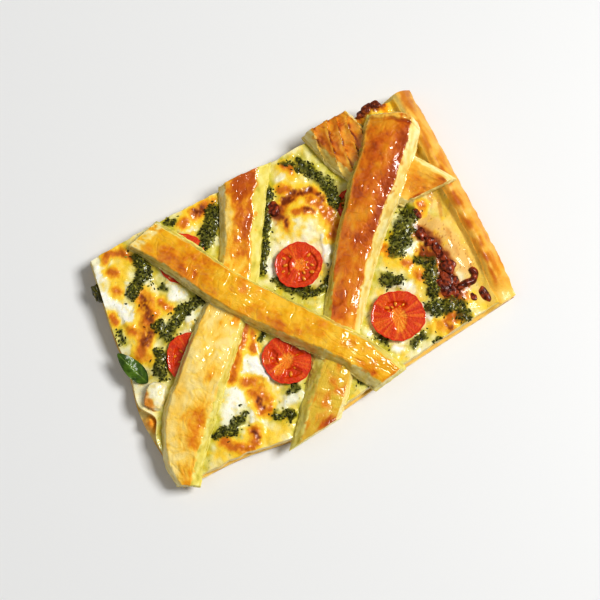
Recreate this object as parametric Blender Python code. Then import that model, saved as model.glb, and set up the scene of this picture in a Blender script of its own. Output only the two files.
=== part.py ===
# A cut slice of savoury lattice tart: a puff pastry base with one raised
# border, a baked cheese filling with herb paste and onion, six tomato halves,
# four pastry strips, a lump of fresh cheese and a herb leaf.
# Metres, +Z up, the underside on Z = 0, the raised border on the +X side.

import math

import bmesh
import bpy
import numpy as np
from mathutils import Matrix, Vector, noise

MM = 0.001
GAP = 0.35 * MM
PIECES = "savoury_tart_slice"

# Slice as cut: corners in millimetres, each cut line through a few points
LEFT_CUT = ((-98.0, -60.0), (-99.6, -44.0), (-99.8, -18.0), (-95.0, 2.0), (-92.5, 24.0), (-85.2, 61.0))
RIM_LINE = ((91.5, -58.0), (94.3, -30.0), (96.0, 0.0), (97.6, 32.0), (98.2, 59.0))
NEAR_CUT = ((-98.0, -60.0), (-66.0, -61.6), (-40.0, -66.4), (-24.0, -66.8), (22.0, -62.4), (91.5, -58.0))
FAR_CUT = ((-85.2, 61.0), (-40.0, 61.6), (10.0, 60.4), (52.0, 61.4), (98.2, 59.0))

# Pastry base and raised border
BASE_T = 5.0 * MM
RIM_HIGH = 17.0 * MM
RIM_HIGH_AT_NEAR_CORNER = 9.0 * MM
RIM_OUTER_EDGE = 10.0 * MM
RIM_CREST_IN = 7.5 * MM
RIM_W = 18.5 * MM
CORNER_FADE = 26.0 * MM
BROWNED_TIP_AT = (-97.0, -25.0)
BROWNED_TIP_R = 5.6 * MM
BROWNED_TIP_HIGH = 7.0 * MM
LAYER_RELIEF = 0.55 * MM
SLICE_L = 193.0 * MM
SLICE_W = 120.0 * MM
FLAT_ENOUGH = math.radians(0.6)

# Filling
FILL_TOP = 13.0 * MM
FILL_INSET = 1.2 * MM
FILL_FROM_RIM = 15.0 * MM
FILL_SWELL = 0.9 * MM

# Mounds and hollows of the filling: x, y, radius, height in millimetres
MOUNDS = (
    (17.5, 29.5, 9.5, 3.0),
    (-76.5, 47.0, 11.0, 1.4),
    (-67.0, 21.0, 12.0, 1.2),
    (-44.0, -26.0, 13.0, 1.4),
    (-24.0, -49.0, 7.0, 1.2),
    (-60.0, -50.0, 9.0, 0.6),
    (56.0, -33.0, 8.0, 0.9),
    (73.0, -10.0, 8.0, 2.2),
    (74.5, -20.0, 8.0, 2.4),
    (74.0, -31.0, 7.0, 1.8),
    (46.0, -14.0, 9.0, 1.0),
    (24.0, 48.0, 7.0, 1.0),
    (-35.0, 54.0, 8.0, 0.8),
    (78.0, -51.0, 9.0, -3.0),
    (-95.0, -4.0, 8.0, -3.6),
    (-96.0, 6.0, 8.0, -3.2),
    (-96.0, -56.0, 16.0, -3.0),
)

# Herb paste spooned on the filling: width, then the points of each stroke, in millimetres
PASTE_HIGH = 1.1 * MM
PASTE = (
    (8.0, ((-19.1, 51.2), (-31.0, 39.8))),
    (4.0, ((10.2, 47.5), (-12.7, 13.8))),
    (6.0, ((30.8, 52.4), (37.3, 35.7), (36.5, 26.2))),
    (4.5, ((-8.9, 5.3), (-1.8, -5.1), (5.1, -8.9), (10.7, -8.1))),
    (6.5, ((-63.1, 49.2), (-64.6, 40.3), (-73.3, 35.4))),
    (5.5, ((-47.4, 16.2), (-59.6, 14.5), (-64.8, 10.0))),
    (7.0, ((-70.2, 13.5), (-70.2, 9.0))),
    (6.5, ((-76.8, 1.4), (-80.4, -7.3))),
    (5.0, ((-55.7, -44.3), (-63.1, -48.5), (-69.7, -46.4))),
    (4.5, ((-42.6, -51.7), (-35.6, -55.1))),
    (10.0, ((64.4, 1.5), (57.9, -4.5), (52.0, -9.2))),
    (6.5, ((58.5, -20.1), (61.1, -24.4), (57.3, -32.7), (56.5, -38.0))),
    (7.0, ((51.4, -43.8), (56.8, -47.4), (61.5, -46.0), (63.7, -50.1), (62.7, -57.6))),
    (5.0, ((38.0, -19.8), (43.3, -24.0))),
)
SIDE_CLOT_AT = (-88.4, 44.5)
SIDE_CLOT_R = 3.1 * MM
SIDE_CLOT_Z = 9.5 * MM

# Onion: x, y, radius of each browned bead, and the curl as a bent length, in millimetres
ONION_BEADS = (
    (65.3, -9.6, 2.3),
    (67.3, -14.2, 2.2),
    (68.2, -18.6, 2.2),
    (68.4, -23.2, 2.3),
    (69.0, -29.8, 2.9),
    (64.6, -35.0, 3.8),
    (61.8, -38.6, 3.6),
    (78.2, -49.2, 2.8),
    (72.2, -48.6, 1.8),
)
ONION_CURL = ((77.4, -35.6), (78.4, -39.0), (75.6, -41.6), (71.0, -41.2), (66.6, -41.9))
ONION_CURL_R = 1.7 * MM

# Strips: x, y, underside height, top height, width, rise of the edge toward the border, in millimetres
STRIP_LEFT = (
    (3.9, 61.2, 11.8, 19.2, 25.0, 0.0),
    (-10.8, 38.1, 11.8, 19.6, 22.0, 0.0),
    (-18.6, 25.2, 11.8, 18.8, 21.0, 0.0),
    (-30.0, 12.0, 11.8, 17.6, 22.5, 0.0),
    (-40.0, 2.6, 11.8, 18.2, 24.0, 0.0),
    (-57.5, -12.6, 11.8, 22.0, 24.5, 0.0),
    (-69.4, -23.5, 11.4, 21.0, 25.5, 0.0),
    (-80.2, -33.6, 10.4, 19.0, 26.0, 0.0),
    (-91.3, -49.0, 8.6, 15.8, 20.0, 0.0),
    (-95.6, -61.0, 7.6, 13.4, 11.0, 0.0),
)
STRIP_RIGHT = (
    (83.4, 51.2, 16.6, 23.6, 25.0, 2.0),
    (78.0, 43.6, 15.4, 26.2, 29.0, 2.0),
    (68.8, 33.1, 12.4, 26.2, 27.5, 1.0),
    (57.1, 22.7, 11.8, 25.2, 26.8, 0.3),
    (46.5, 12.6, 11.8, 23.4, 24.8, 0.0),
    (36.4, 3.0, 11.8, 21.4, 23.2, 0.0),
    (17.6, -17.9, 11.8, 18.2, 20.4, 0.0),
    (2.0, -36.0, 11.8, 16.8, 20.8, 0.0),
    (-8.2, -47.9, 11.8, 18.2, 21.4, 0.0),
    (-18.8, -58.5, 11.2, 18.2, 21.2, 0.0),
    (-29.8, -69.6, 10.2, 16.4, 19.5, 0.0),
)
STRIP_TOP = (
    (51.0, 63.4, 11.8, 20.6, 26.5, 0.0),
    (54.0, 51.0, 11.8, 20.4, 27.0, 0.0),
    (58.0, 40.0, 11.8, 18.4, 27.5, 0.0),
    (67.0, 25.5, 12.4, 18.2, 27.5, 0.4),
    (74.5, 14.5, 14.6, 19.6, 26.0, 2.2),
    (80.0, 6.8, 16.0, 20.0, 20.5, 3.0),
)
STRIP_LONG = (
    (-56.4, 59.8, 11.8, 20.4, 20.0, 0.0),
    (-44.6, 38.0, 11.8, 22.2, 20.2, 0.0),
    (-33.4, 14.2, 11.8, 24.6, 20.2, 0.0),
    (-20.4, -5.4, 11.8, 23.4, 20.2, 0.0),
    (-4.4, -28.6, 11.8, 24.8, 20.0, 0.0),
    (4.4, -41.8, 11.8, 24.6, 19.6, 0.0),
    (8.6, -49.2, 11.8, 23.6, 19.4, 0.0),
    (12.2, -56.6, 11.8, 21.6, 19.2, 0.0),
    (15.8, -64.8, 11.6, 19.8, 18.6, 0.0),
)

# Tomato halves: x, y, radius, height of the cut face, depth below it, in millimetres
TOMATOES = (
    (4.2, 6.9, 11.6, 16.2, 8.2),
    (34.2, -39.2, 12.9, 16.4, 9.0),
    (-23.9, -31.3, 12.0, 15.6, 8.0),
    (-64.2, -7.2, 12.3, 14.6, 7.6),
    (-44.4, 38.8, 12.2, 14.6, 7.6),
    (44.0, 20.6, 9.0, 13.4, 7.2),
)

# Lump of fresh cheese and the herb leaf at the left cut
LUMP_AT = (-88.6, -15.2)
LUMP_SIZE = (13.6, 9.6, 9.0)
LUMP_MID_Z = 11.8 * MM
LUMP_TURN = math.radians(48.0)
LEAF_AT = (-91.6, 2.6)
LEAF_L = 20.5 * MM
LEAF_W = 8.0 * MM
LEAF_T = 0.7 * MM
LEAF_Z = 12.6 * MM
LEAF_TURN = math.radians(107.0)


def srgb(r, g, b):
    return tuple(((c / 255 + 0.055) / 1.055) ** 2.4 if c > 10 else c / 3294.6 for c in (r, g, b))


def material(name, colour, rough):
    made = bpy.data.materials.new(name)
    made.use_nodes = True
    shader = made.node_tree.nodes["Principled BSDF"]
    shader.inputs["Base Color"].default_value = (*srgb(*colour), 1.0)
    shader.inputs["Roughness"].default_value = rough
    shader.inputs["Metallic"].default_value = 0.0
    return made


def smooth(x):
    x = min(max(x, 0.0), 1.0)
    return x * x * (3.0 - 2.0 * x)


def wobble(x, y, size, seed):
    """Noise from -1 to 1 with features of this size, at a place given in metres."""
    return noise.noise(Vector((x / size, y / size, seed * 7.31)))


def along(rows, count):
    """Rows of numbers taken as a smooth curve, at evenly spaced places."""
    rows = np.array(rows, float)
    if len(rows) == 2:
        rows = np.stack([rows[0], rows.mean(0), rows[1]])
    padded = np.vstack([2 * rows[0] - rows[1], rows, 2 * rows[-1] - rows[-2]])
    fine = []
    for i in range(len(rows) - 1):
        p0, p1, p2, p3 = padded[i : i + 4]
        for t in np.arange(20) / 20:
            second = (2 * p0 - 5 * p1 + 4 * p2 - p3) * t**2
            third = (3 * p1 - p0 - 3 * p2 + p3) * t**3
            fine.append(0.5 * (2 * p1 + (p2 - p0) * t + second + third))
    fine.append(rows[-1])
    fine = np.array(fine)
    step = np.linalg.norm(np.diff(fine[:, :2], axis=0), axis=1)
    run = np.concatenate([[0.0], np.cumsum(step)])
    places = np.linspace(0.0, run[-1], count)
    return np.stack([np.interp(places, run, fine[:, k]) for k in range(fine.shape[1])], axis=1)


EDGES = {name: along(line, 201) * MM for name, line in
         (("left", LEFT_CUT), ("rim", RIM_LINE), ("near", NEAR_CUT), ("far", FAR_CUT))}


def on_edge(name, share):
    line = EDGES[name]
    place = min(max(share, 0.0), 1.0) * (len(line) - 1)
    i = min(int(place), len(line) - 2)
    return line[i] + (line[i + 1] - line[i]) * (place - i)


def in_slice(s, t):
    """Place in the slice, s from the left cut to the border, t from the near cut to the far one."""
    near, far = on_edge("near", s), on_edge("far", s)
    left, rim = on_edge("left", t), on_edge("rim", t)
    corners = (
        (1 - s) * (1 - t) * on_edge("near", 0.0)
        + s * (1 - t) * on_edge("near", 1.0)
        + (1 - s) * t * on_edge("far", 0.0)
        + s * t * on_edge("far", 1.0)
    )
    return (1 - t) * near + t * far + (1 - s) * left + s * rim - corners


def from_rim(x, y):
    """Distance in from the outer line of the raised border."""
    share = (y - EDGES["rim"][0][1]) / (EDGES["rim"][-1][1] - EDGES["rim"][0][1])
    return on_edge("rim", share)[0] - x


def base_top(x, y):
    inward = from_rim(x, y)
    up = RIM_HIGH_AT_NEAR_CORNER + (RIM_HIGH - RIM_HIGH_AT_NEAR_CORNER) * smooth(
        (y - EDGES["rim"][0][1]) / CORNER_FADE
    )
    up += 0.8 * MM * wobble(x, y, 22 * MM, 1)
    edge = min(RIM_OUTER_EDGE, up - 1.5 * MM)
    if inward < RIM_CREST_IN:
        high = edge + (up - edge) * math.sin(0.5 * math.pi * max(inward, 0.0) / RIM_CREST_IN)
    else:
        high = BASE_T + (up - BASE_T) * (1.0 - smooth((inward - RIM_CREST_IN) / (RIM_W - RIM_CREST_IN)))
    tip = math.hypot(x - BROWNED_TIP_AT[0] * MM, y - BROWNED_TIP_AT[1] * MM) / BROWNED_TIP_R
    return high + BROWNED_TIP_HIGH * (1.0 - smooth(tip))


def over_base(x, y):
    """Height that clears the base by the gap, also between the points of its surface."""
    reach = 2.4 * MM
    near = ((0, 0), (reach, 0), (-reach, 0), (0, reach), (0, -reach))
    return max(base_top(x + dx, y + dy) for dx, dy in near) + GAP


def to_stroke(x, y, points):
    """Distance from a place to a line through points in millimetres."""
    best = 1.0
    for a, b in zip(points[:-1], points[1:]):
        a, b = Vector(a) * MM, Vector(b) * MM
        way = b - a
        share = min(max((Vector((x, y)) - a).dot(way) / way.length_squared, 0.0), 1.0)
        best = min(best, (Vector((x, y)) - a - way * share).length)
    return best


def fill_top(x, y):
    high = FILL_TOP + FILL_SWELL * wobble(x, y, 17 * MM, 2) + 0.4 * MM * wobble(x, y, 6 * MM, 3)
    high += 2.0 * MM * math.exp(-((to_stroke(x, y, [row[:2] for row in STRIP_LONG]) / (13 * MM)) ** 2))
    for mx, my, radius, up in MOUNDS:
        away = math.hypot(x - mx * MM, y - my * MM) / (radius * MM)
        high += up * MM * math.exp(-(away**2))
    high -= 2.2 * MM * math.exp(-(((from_rim(x, y) - 15 * MM) / (4 * MM)) ** 2))
    paste = max(1.0 - smooth(to_stroke(x, y, points) / (0.75 * width * MM)) for width, points in PASTE)
    high += PASTE_HIGH * paste * (1.0 + 0.5 * wobble(x, y, 3.5 * MM, 4))
    return max(high, over_base(x, y) + 1.2 * MM)


def link(obj, collection):
    collection.objects.link(obj)
    return obj


def finish_mesh(bm, name, collection, skin=None):
    bmesh.ops.recalc_face_normals(bm, faces=bm.faces)
    mesh = bpy.data.meshes.new(name)
    bm.to_mesh(mesh)
    bm.free()
    if skin:
        mesh.materials.append(skin)
    return link(bpy.data.objects.new(name, mesh), collection)


def slab(name, collection, columns, rows, place, bottom, top, rings, side, skin):
    """A sheet of food on a grid over the slice, with walls of several rings that follow the side relief."""
    bm = bmesh.new()
    bmesh.ops.create_grid(bm, x_segments=len(columns) - 1, y_segments=len(rows) - 1, size=1.0)
    share = {}
    for vert in bm.verts:
        i = round((vert.co.x + 1) / 2 * (len(columns) - 1))
        j = round((vert.co.y + 1) / 2 * (len(rows) - 1))
        s, t = columns[i], rows[j]
        x, y = place(s, t)
        share[vert.index] = (s, t)
        vert.co = (x, y, bottom(x, y))
    low = list(bm.verts)
    bm.verts.index_update()
    under = bmesh.ops.extrude_face_region(bm, geom=bm.faces[:])
    upper = [item for item in under["geom"] if isinstance(item, bmesh.types.BMVert)]
    bm.verts.index_update()
    for vert in upper:
        vert.co.z = top(vert.co.x, vert.co.y)
    lower = set(low)
    walls = [edge for edge in bm.edges if (edge.verts[0] in lower) != (edge.verts[1] in lower)]
    cut = bmesh.ops.subdivide_edges(bm, edges=walls, cuts=rings, use_grid_fill=True)
    wall_verts = [item for item in cut["geom_inner"] if isinstance(item, bmesh.types.BMVert)]
    for vert in wall_verts:
        x, y = vert.co.x, vert.co.y
        floor, lid = bottom(x, y), top(x, y)
        level = (vert.co.z - floor) / max(lid - floor, 1e-6)
        out = side(x, y, level, vert.co.z)
        if abs(x) * SLICE_W / SLICE_L > abs(y):
            vert.co.x += math.copysign(1.0, x) * out
        else:
            vert.co.y += math.copysign(1.0, y) * out
    bmesh.ops.dissolve_limit(
        bm,
        angle_limit=FLAT_ENOUGH,
        verts=bm.verts[:],
        edges=bm.edges[:],
        use_dissolve_boundaries=False,
    )
    bmesh.ops.triangulate(bm, faces=bm.faces[:])
    return finish_mesh(bm, name, collection, skin)


SECTION = (
    (-0.90, 0.00),
    (0.00, 0.00),
    (0.90, 0.00),
    (1.00, 0.16),
    (0.955, 0.34),
    (0.985, 0.50),
    (0.88, 0.78),
    (0.58, 0.98),
    (0.00, 1.04),
    (-0.58, 0.98),
    (-0.88, 0.78),
    (-0.985, 0.50),
    (-0.955, 0.34),
    (-1.00, 0.16),
)


def strip(name, collection, plan, grow=0.0, skin=None):
    """A pastry strip lofted along its path, with layered flanks, a domed top and ends cut at an angle."""
    rows, count, (first_across, last_across), (first_slope, last_slope), dome, flaky, rounded, seed = plan
    path = along(rows, count)
    centre = path[:, :2] * MM
    way = np.gradient(centre, axis=0)
    way /= np.linalg.norm(way, axis=1)[:, None]
    if grow:
        centre[0] -= way[0] * grow
        centre[-1] += way[-1] * grow
    square = np.stack([-way[:, 1], way[:, 0]], axis=1)
    share = np.linspace(0.0, 1.0, count)
    bm = bmesh.new()
    loops = []
    for i in range(count):
        across = Vector(square[i])
        for cut_way, near_end in ((first_across, share[i]), (last_across, 1.0 - share[i])):
            if cut_way:
                cut_way = Vector(cut_way).normalized()
                cut_way = cut_way if cut_way.dot(Vector(square[i])) > 0 else -cut_way
                across = across.lerp(cut_way, 1.0 - smooth(near_end / 0.16))
        across.normalize()
        across /= max(across.dot(Vector(square[i])), 0.5)
        z, lid, wide, roll = path[i, 2:] * MM
        thick = lid - z
        wide *= 1.0 + 0.03 * wobble(i * 5 * MM, 0, 9 * MM, seed)
        thick *= 1.0 + 0.05 * wobble(i * 5 * MM, 0, 12 * MM, seed + 1)
        loop = []
        for k, (u, w) in enumerate(SECTION):
            lift = w * thick
            if w > 0.9:
                step = (1.7 * u + 5.0 * share[i]) % 1.0 - 0.5
                lift += dome * (1.0 - u * u) * MM + flaky * step * MM * (1.0 - smooth(share[i] / 0.45))
            if 0.1 < w < 0.9:
                u *= 1.0 + 0.03 * wobble(i * 5 * MM, k * 3 * MM, 6 * MM, seed + 2)
            reach = u * wide / 2 + math.copysign(grow, u) * (abs(u) > 0.01)
            rise = lift + (grow if w > 0.5 else -grow if w < 0.1 else 0.0)
            lean = w * (first_slope * (i == 0) - last_slope * (i == count - 1))
            lean += rounded * max(1.0 - share[i] / 0.08, 0.0) * max(1.1 * u - 0.2, -0.3 * u, 0.0) ** 2.2
            spot = Vector(centre[i]) + across * reach + Vector(way[i]) * (lean * MM)
            loop.append(bm.verts.new((spot.x, spot.y, z + rise + roll * u)))
        loops.append(loop)
    for a, b in zip(loops[:-1], loops[1:]):
        for k in range(len(SECTION)):
            n = (k + 1) % len(SECTION)
            bm.faces.new((a[k], a[n], b[n], b[k]))
    bm.faces.new(loops[0][::-1])
    bm.faces.new(loops[-1])
    bmesh.ops.triangulate(bm, faces=bm.faces[:])
    return finish_mesh(bm, name, collection, skin)


def tomato(name, collection, row, seed, grow=0.0, headroom=0.0, skin=None, turns=18, levels=10):
    """Half a roasted tomato, skin side down: a wrinkled bowl shape with seed pockets in the cut face."""
    x, y, radius, face_z, depth = (value * MM for value in row)
    bm = bmesh.new()
    bmesh.ops.create_uvsphere(bm, u_segments=turns, v_segments=levels, radius=1.0)
    for vert in bm.verts:
        nx, ny, nz = vert.co
        around = math.atan2(ny, nx)
        flat = math.hypot(nx, ny)
        edge = 1.0 + 0.035 * math.sin(2 * around + seed) + 0.02 * math.sin(5 * around + 2 * seed)
        if nz > 0.02:
            flat *= 0.985
            pockets = smooth(1.0 - abs(flat - 0.55) / 0.35)
            pockets *= smooth(0.5 + 0.9 * math.cos(3 * around + seed))
            high = 0.35 * MM * math.sin(math.pi * min(flat, 1.0)) - 1.0 * MM * pockets
            high -= 0.5 * MM * (flat < 0.2)
            if flat > 0.9:
                high = 0.0
        else:
            high = depth * nz * (1.0 + 0.05 * math.sin(6 * around + seed))
        reach = radius * edge * flat + 1.8 * grow * min(flat * 3, 1.0)
        raise_by = headroom if nz > 0.02 else -grow if nz < -0.02 else 0.0
        vert.co = (
            x + reach * math.cos(around),
            y + reach * math.sin(around),
            face_z + high + raise_by,
        )
    bmesh.ops.triangulate(bm, faces=bm.faces[:])
    return finish_mesh(bm, name, collection, skin)


def lump(name, collection, grow=0.0, skin=None):
    """A soft block of fresh cheese with rounded, sunken corners."""
    bm = bmesh.new()
    bmesh.ops.create_cube(bm, size=2.0)
    bmesh.ops.subdivide_edges(bm, edges=bm.edges[:], cuts=3, use_grid_fill=True)
    turn = Vector((math.cos(LUMP_TURN), math.sin(LUMP_TURN)))
    for vert in bm.verts:
        spot = vert.co.copy()
        ball = spot.normalized() * 1.12
        spot = spot.lerp(ball, 0.55)
        spot.x *= LUMP_SIZE[0] / 2 * MM + grow
        spot.y *= LUMP_SIZE[1] / 2 * MM + grow
        spot.z *= LUMP_SIZE[2] / 2 * MM + grow
        spot *= 1.0 + 0.05 * wobble(spot.x, spot.y, 5 * MM, 9)
        vert.co = (
            LUMP_AT[0] * MM + spot.x * turn.x - spot.y * turn.y,
            LUMP_AT[1] * MM + spot.x * turn.y + spot.y * turn.x,
            LUMP_MID_Z + spot.z,
        )
    bmesh.ops.triangulate(bm, faces=bm.faces[:])
    return finish_mesh(bm, name, collection, skin)


def leaf(name, collection, grow=0.0, skin=None):
    """A wilted herb leaf: a thin wavy sheet with pointed ends, drooping over the cut side."""
    bm = bmesh.new()
    bmesh.ops.create_grid(bm, x_segments=12, y_segments=6, size=1.0)
    turn = Vector((math.cos(LEAF_TURN), math.sin(LEAF_TURN)))
    for vert in bm.verts:
        u, v = vert.co.x, vert.co.y
        half = LEAF_W / 2 * (1.0 - abs(u) ** 2.2) ** 0.8 * (1.0 - 0.25 * u) + 0.4 * MM
        side_way = v * (half + grow)
        long_way = u * (LEAF_L / 2 + grow)
        outward = side_way / (LEAF_W / 2)
        wave = math.sin(long_way / (3.3 * MM) + 1.9 * outward)
        high = LEAF_Z + 0.7 * MM * wave - 1.6 * MM * smooth(outward) + 0.05 * long_way
        vert.co = (
            LEAF_AT[0] * MM + long_way * turn.x - side_way * turn.y,
            LEAF_AT[1] * MM + long_way * turn.y + side_way * turn.x,
            high - grow,
        )
    bmesh.ops.triangulate(bm, faces=bm.faces[:])
    raised = bmesh.ops.extrude_face_region(bm, geom=bm.faces[:])
    for item in raised["geom"]:
        if isinstance(item, bmesh.types.BMVert):
            item.co.z += LEAF_T + 2 * grow
    return finish_mesh(bm, name, collection, skin)


def blob(name, collection, x, y, z, size, seed):
    bm = bmesh.new()
    if max(size) > 2.5 * MM:
        bmesh.ops.create_icosphere(bm, subdivisions=2, radius=1.0)
    else:
        bmesh.ops.create_uvsphere(bm, u_segments=7, v_segments=4, radius=1.0)
    for vert in bm.verts:
        vert.co *= 1.0 + 0.12 * noise.noise(vert.co * 1.7 + Vector((seed, 0, 0)))
        vert.co = (x + vert.co.x * size[0], y + vert.co.y * size[1], z + vert.co.z * size[2])
    return finish_mesh(bm, name, collection)


def boolean(obj, operation, operand, solver="EXACT"):
    """Applies one Boolean, with an object or a collection of objects."""
    modifier = obj.modifiers.new(operation.title(), "BOOLEAN")
    modifier.operation = operation
    modifier.solver = solver
    if isinstance(operand, bpy.types.Collection):
        modifier.operand_type = "COLLECTION"
        modifier.collection = operand
        if solver == "EXACT":
            modifier.use_self = True
    else:
        modifier.object = operand
    bpy.context.view_layer.update()
    graph = bpy.context.evaluated_depsgraph_get()
    made = bpy.data.meshes.new_from_object(obj.evaluated_get(graph))
    obj.modifiers.clear()
    obj.data = made


def largest_only(obj):
    """Drops the loose scraps that a cut leaves."""
    bm = bmesh.new()
    bm.from_mesh(obj.data)
    left = set(bm.verts)
    groups = []
    while left:
        group, edge = set(), [left.pop()]
        while edge:
            vert = edge.pop()
            group.add(vert)
            for line in vert.link_edges:
                other = line.other_vert(vert)
                if other in left:
                    left.remove(other)
                    edge.append(other)
        groups.append(group)
    keep = max(groups, key=len)
    bmesh.ops.delete(bm, geom=[vert for vert in bm.verts if vert not in keep], context="VERTS")
    bm.to_mesh(obj.data)
    bm.free()


for old in list(bpy.data.objects):
    bpy.data.objects.remove(old)

pieces = bpy.data.collections.new(PIECES)
bpy.context.scene.collection.children.link(pieces)
cutters = bpy.data.collections.new("cutters")
cutters.hide_render = True
bpy.context.scene.collection.children.link(cutters)
bits = bpy.data.collections.new("fused_bits")
bits.hide_render = True
bpy.context.scene.collection.children.link(bits)

pastry = material("baked_pastry", (222, 170, 92), 0.55)
custard = material("cheese_filling", (236, 205, 128), 0.4)
strip_skins = {
    "strip_left": material("egg_washed_strip_left", (228, 160, 48), 0.32),
    "strip_right": material("egg_washed_strip_right", (200, 108, 24), 0.28),
    "strip_top": material("egg_washed_strip_top", (206, 122, 34), 0.34),
    "strip_long": material("egg_washed_strip_long", (236, 164, 28), 0.3),
}
tomato_skin = material("roasted_tomato", (196, 52, 16), 0.25)
fresh_cheese = material("fresh_cheese", (244, 240, 208), 0.45)
green = material("wilted_leaf", (70, 110, 22), 0.4)


def base_side(x, y, level, z):
    layer = math.sin(z / (1.35 * MM) * math.pi)
    return LAYER_RELIEF * (0.6 * layer + 0.9 * wobble(x + y, z, 4 * MM, 12)) - 0.3 * MM


def fill_side(x, y, level, z):
    return 0.6 * MM * math.sin(math.pi * level) + 0.5 * MM * wobble(x + y, z, 5 * MM, 13)


def spread(stops):
    """Shares from 0 to 1 with a chosen count of steps in each stretch."""
    made = [stops[0][0]]
    for (a, _), (b, count) in zip(stops[:-1], stops[1:]):
        made += [a + (b - a) * (i + 1) / count for i in range(count)]
    return made


rim_share = 1.0 - RIM_W / SLICE_L
slab(
    "pastry_base",
    pieces,
    spread([(0.0, 0), (rim_share - 0.02, 30), (1.0, 8)]),
    spread([(0.0, 0), (1.0, 22)]),
    in_slice,
    lambda x, y: 0.0,
    base_top,
    3,
    base_side,
    pastry,
)


def fill_place(s, t):
    """The same slice drawn in a little, short of the raised border and of the browned tip."""
    x, y = in_slice(s, t)
    tip_room = math.exp(-(((y - BROWNED_TIP_AT[1] * MM) / (6.5 * MM)) ** 2))
    x_left = on_edge("left", t)[0] + FILL_INSET + 8.0 * MM * tip_room
    x_right = on_edge("rim", t)[0] - FILL_FROM_RIM + 1.2 * MM * wobble(0, y, 12 * MM, 5)
    x = x_left + s * (x_right - x_left) + (x - on_edge("left", t)[0] * (1 - s) - on_edge("rim", t)[0] * s)
    y_near, y_far = on_edge("near", s)[1], on_edge("far", s)[1]
    y -= FILL_INSET * (2 * t - 1)
    y += 0.5 * MM * wobble(x, 0, 5 * MM, 6) * (1 if t < 0.01 else -1 if t > 0.99 else 0)
    return Vector((x, min(max(y, y_near), y_far)))


filling = slab(
    "cheese_filling",
    pieces,
    spread([(0.0, 0), (1.0, 39)]),
    spread([(0.0, 0), (1.0, 26)]),
    fill_place,
    over_base,
    fill_top,
    2,
    fill_side,
    custard,
)

# Each strip: path, stations, ways its ends are cut, end slopes, dome, flaky relief, rounded corner, seed
STRIPS = {
    "strip_left": (STRIP_LEFT, 26, ((1.0, -0.06), (0.86, -0.5)), (1.5, 0.5), 0.3, 0.0, 0.0, 21),
    "strip_top": (STRIP_TOP, 12, ((1.0, 0.0), (1.0, -0.09)), (0.5, 0.5), 0.2, 1.1, 0.0, 41),
    "strip_right": (STRIP_RIGHT, 28, ((0.88, -0.47), (1.0, 0.05)), (2.6, 0.5), 1.2, 0.0, 6.0, 31),
    "strip_long": (STRIP_LONG, 23, ((1.0, 0.2), (1.0, 0.12)), (3.6, 1.4), 0.2, 0.0, 0.0, 51),
}
for name, plan in STRIPS.items():
    strip(name, pieces, plan, 0.0, strip_skins[name])
    strip("cut_" + name, cutters, plan, GAP)
for number, row in enumerate(TOMATOES, 1):
    size = (14, 8) if number > 3 else (18, 10)
    tomato(f"tomato_{number}", pieces, row, number * 1.3, 0.0, 0.0, tomato_skin, *size)
    tomato(f"cut_tomato_{number}", cutters, row, number * 1.3, GAP, 3.0 * MM, None, *size)
    tomato(f"under_tomato_{number}", cutters, row, number * 1.3, GAP, GAP, None, *size)
lump("cheese_lump", pieces, 0.0, fresh_cheese)
lump("cut_cheese_lump", cutters, GAP)
leaf("herb_leaf", pieces, 0.0, green)
leaf("cut_herb_leaf", cutters, 2 * GAP)
for cutter in cutters.objects:
    cutter.display_type = "WIRE"

# The filling is hollowed for all that lies in it, and each strip for what it drapes over
PRESSED = (
    ("cheese_filling", [name for name in cutters.objects.keys() if name.startswith("cut_")]),
    ("strip_left", ("under_tomato_4",)),
    ("strip_top", ("under_tomato_6",)),
    ("strip_right", ("cut_strip_top", "under_tomato_6")),
    ("strip_long", ("cut_strip_left", "cut_strip_right", "under_tomato_3", "under_tomato_5")),
)
for name, below in PRESSED:
    for cutter in below:
        boolean(bpy.data.objects[name], "DIFFERENCE", bpy.data.objects[cutter])
    largest_only(bpy.data.objects[name])

# Onion and the clot of paste at the cut side, all joined to the filling
for number, (x, y, radius) in enumerate(ONION_BEADS):
    x, y, radius = x * MM, y * MM, radius * MM
    size = (radius, radius, 0.6 * radius)
    blob(f"bead_{number}", bits, x, y, fill_top(x, y) + 0.1 * radius, size, number)
clot_x, clot_y = (value * MM for value in SIDE_CLOT_AT)
blob("side_clot", bits, clot_x, clot_y, SIDE_CLOT_Z, (2.4 * MM, SIDE_CLOT_R, 2.6 * MM), 20)
curl_line = along(ONION_CURL, 9)
curl = bmesh.new()
curl_loops = []
for i, (x, y) in enumerate(curl_line * MM):
    ahead = curl_line[min(i + 1, 8)] - curl_line[max(i - 1, 0)]
    ahead = Vector(ahead).normalized()
    thick = ONION_CURL_R * (0.8 + 0.35 * math.sin(math.pi * (i + 0.6) / 9))
    z = fill_top(x, y) + 0.35 * thick
    loop = []
    for k in range(7):
        turn = 2 * math.pi * k / 7
        loop.append(curl.verts.new((
            x - ahead.y * thick * math.cos(turn),
            y + ahead.x * thick * math.cos(turn),
            z + thick * math.sin(turn),
        )))
    curl_loops.append(loop)
for a, b in zip(curl_loops[:-1], curl_loops[1:]):
    for k in range(7):
        curl.faces.new((a[k], a[(k + 1) % 7], b[(k + 1) % 7], b[k]))
curl.faces.new(curl_loops[0][::-1])
curl.faces.new(curl_loops[-1])
finish_mesh(curl, "curl", bits)

boolean(filling, "UNION", bits)
largest_only(filling)
for obj in list(bits.objects) + list(cutters.objects):
    bpy.data.objects.remove(obj)

# The middle of the whole slice goes to the origin
spots = np.array([vert.co for obj in pieces.objects for vert in obj.data.vertices])
middle = (spots.min(axis=0) + spots.max(axis=0)) / 2
for obj in pieces.objects:
    obj.data.transform(Matrix.Translation((-middle[0], -middle[1], 0.0)))
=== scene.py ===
import math

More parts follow.
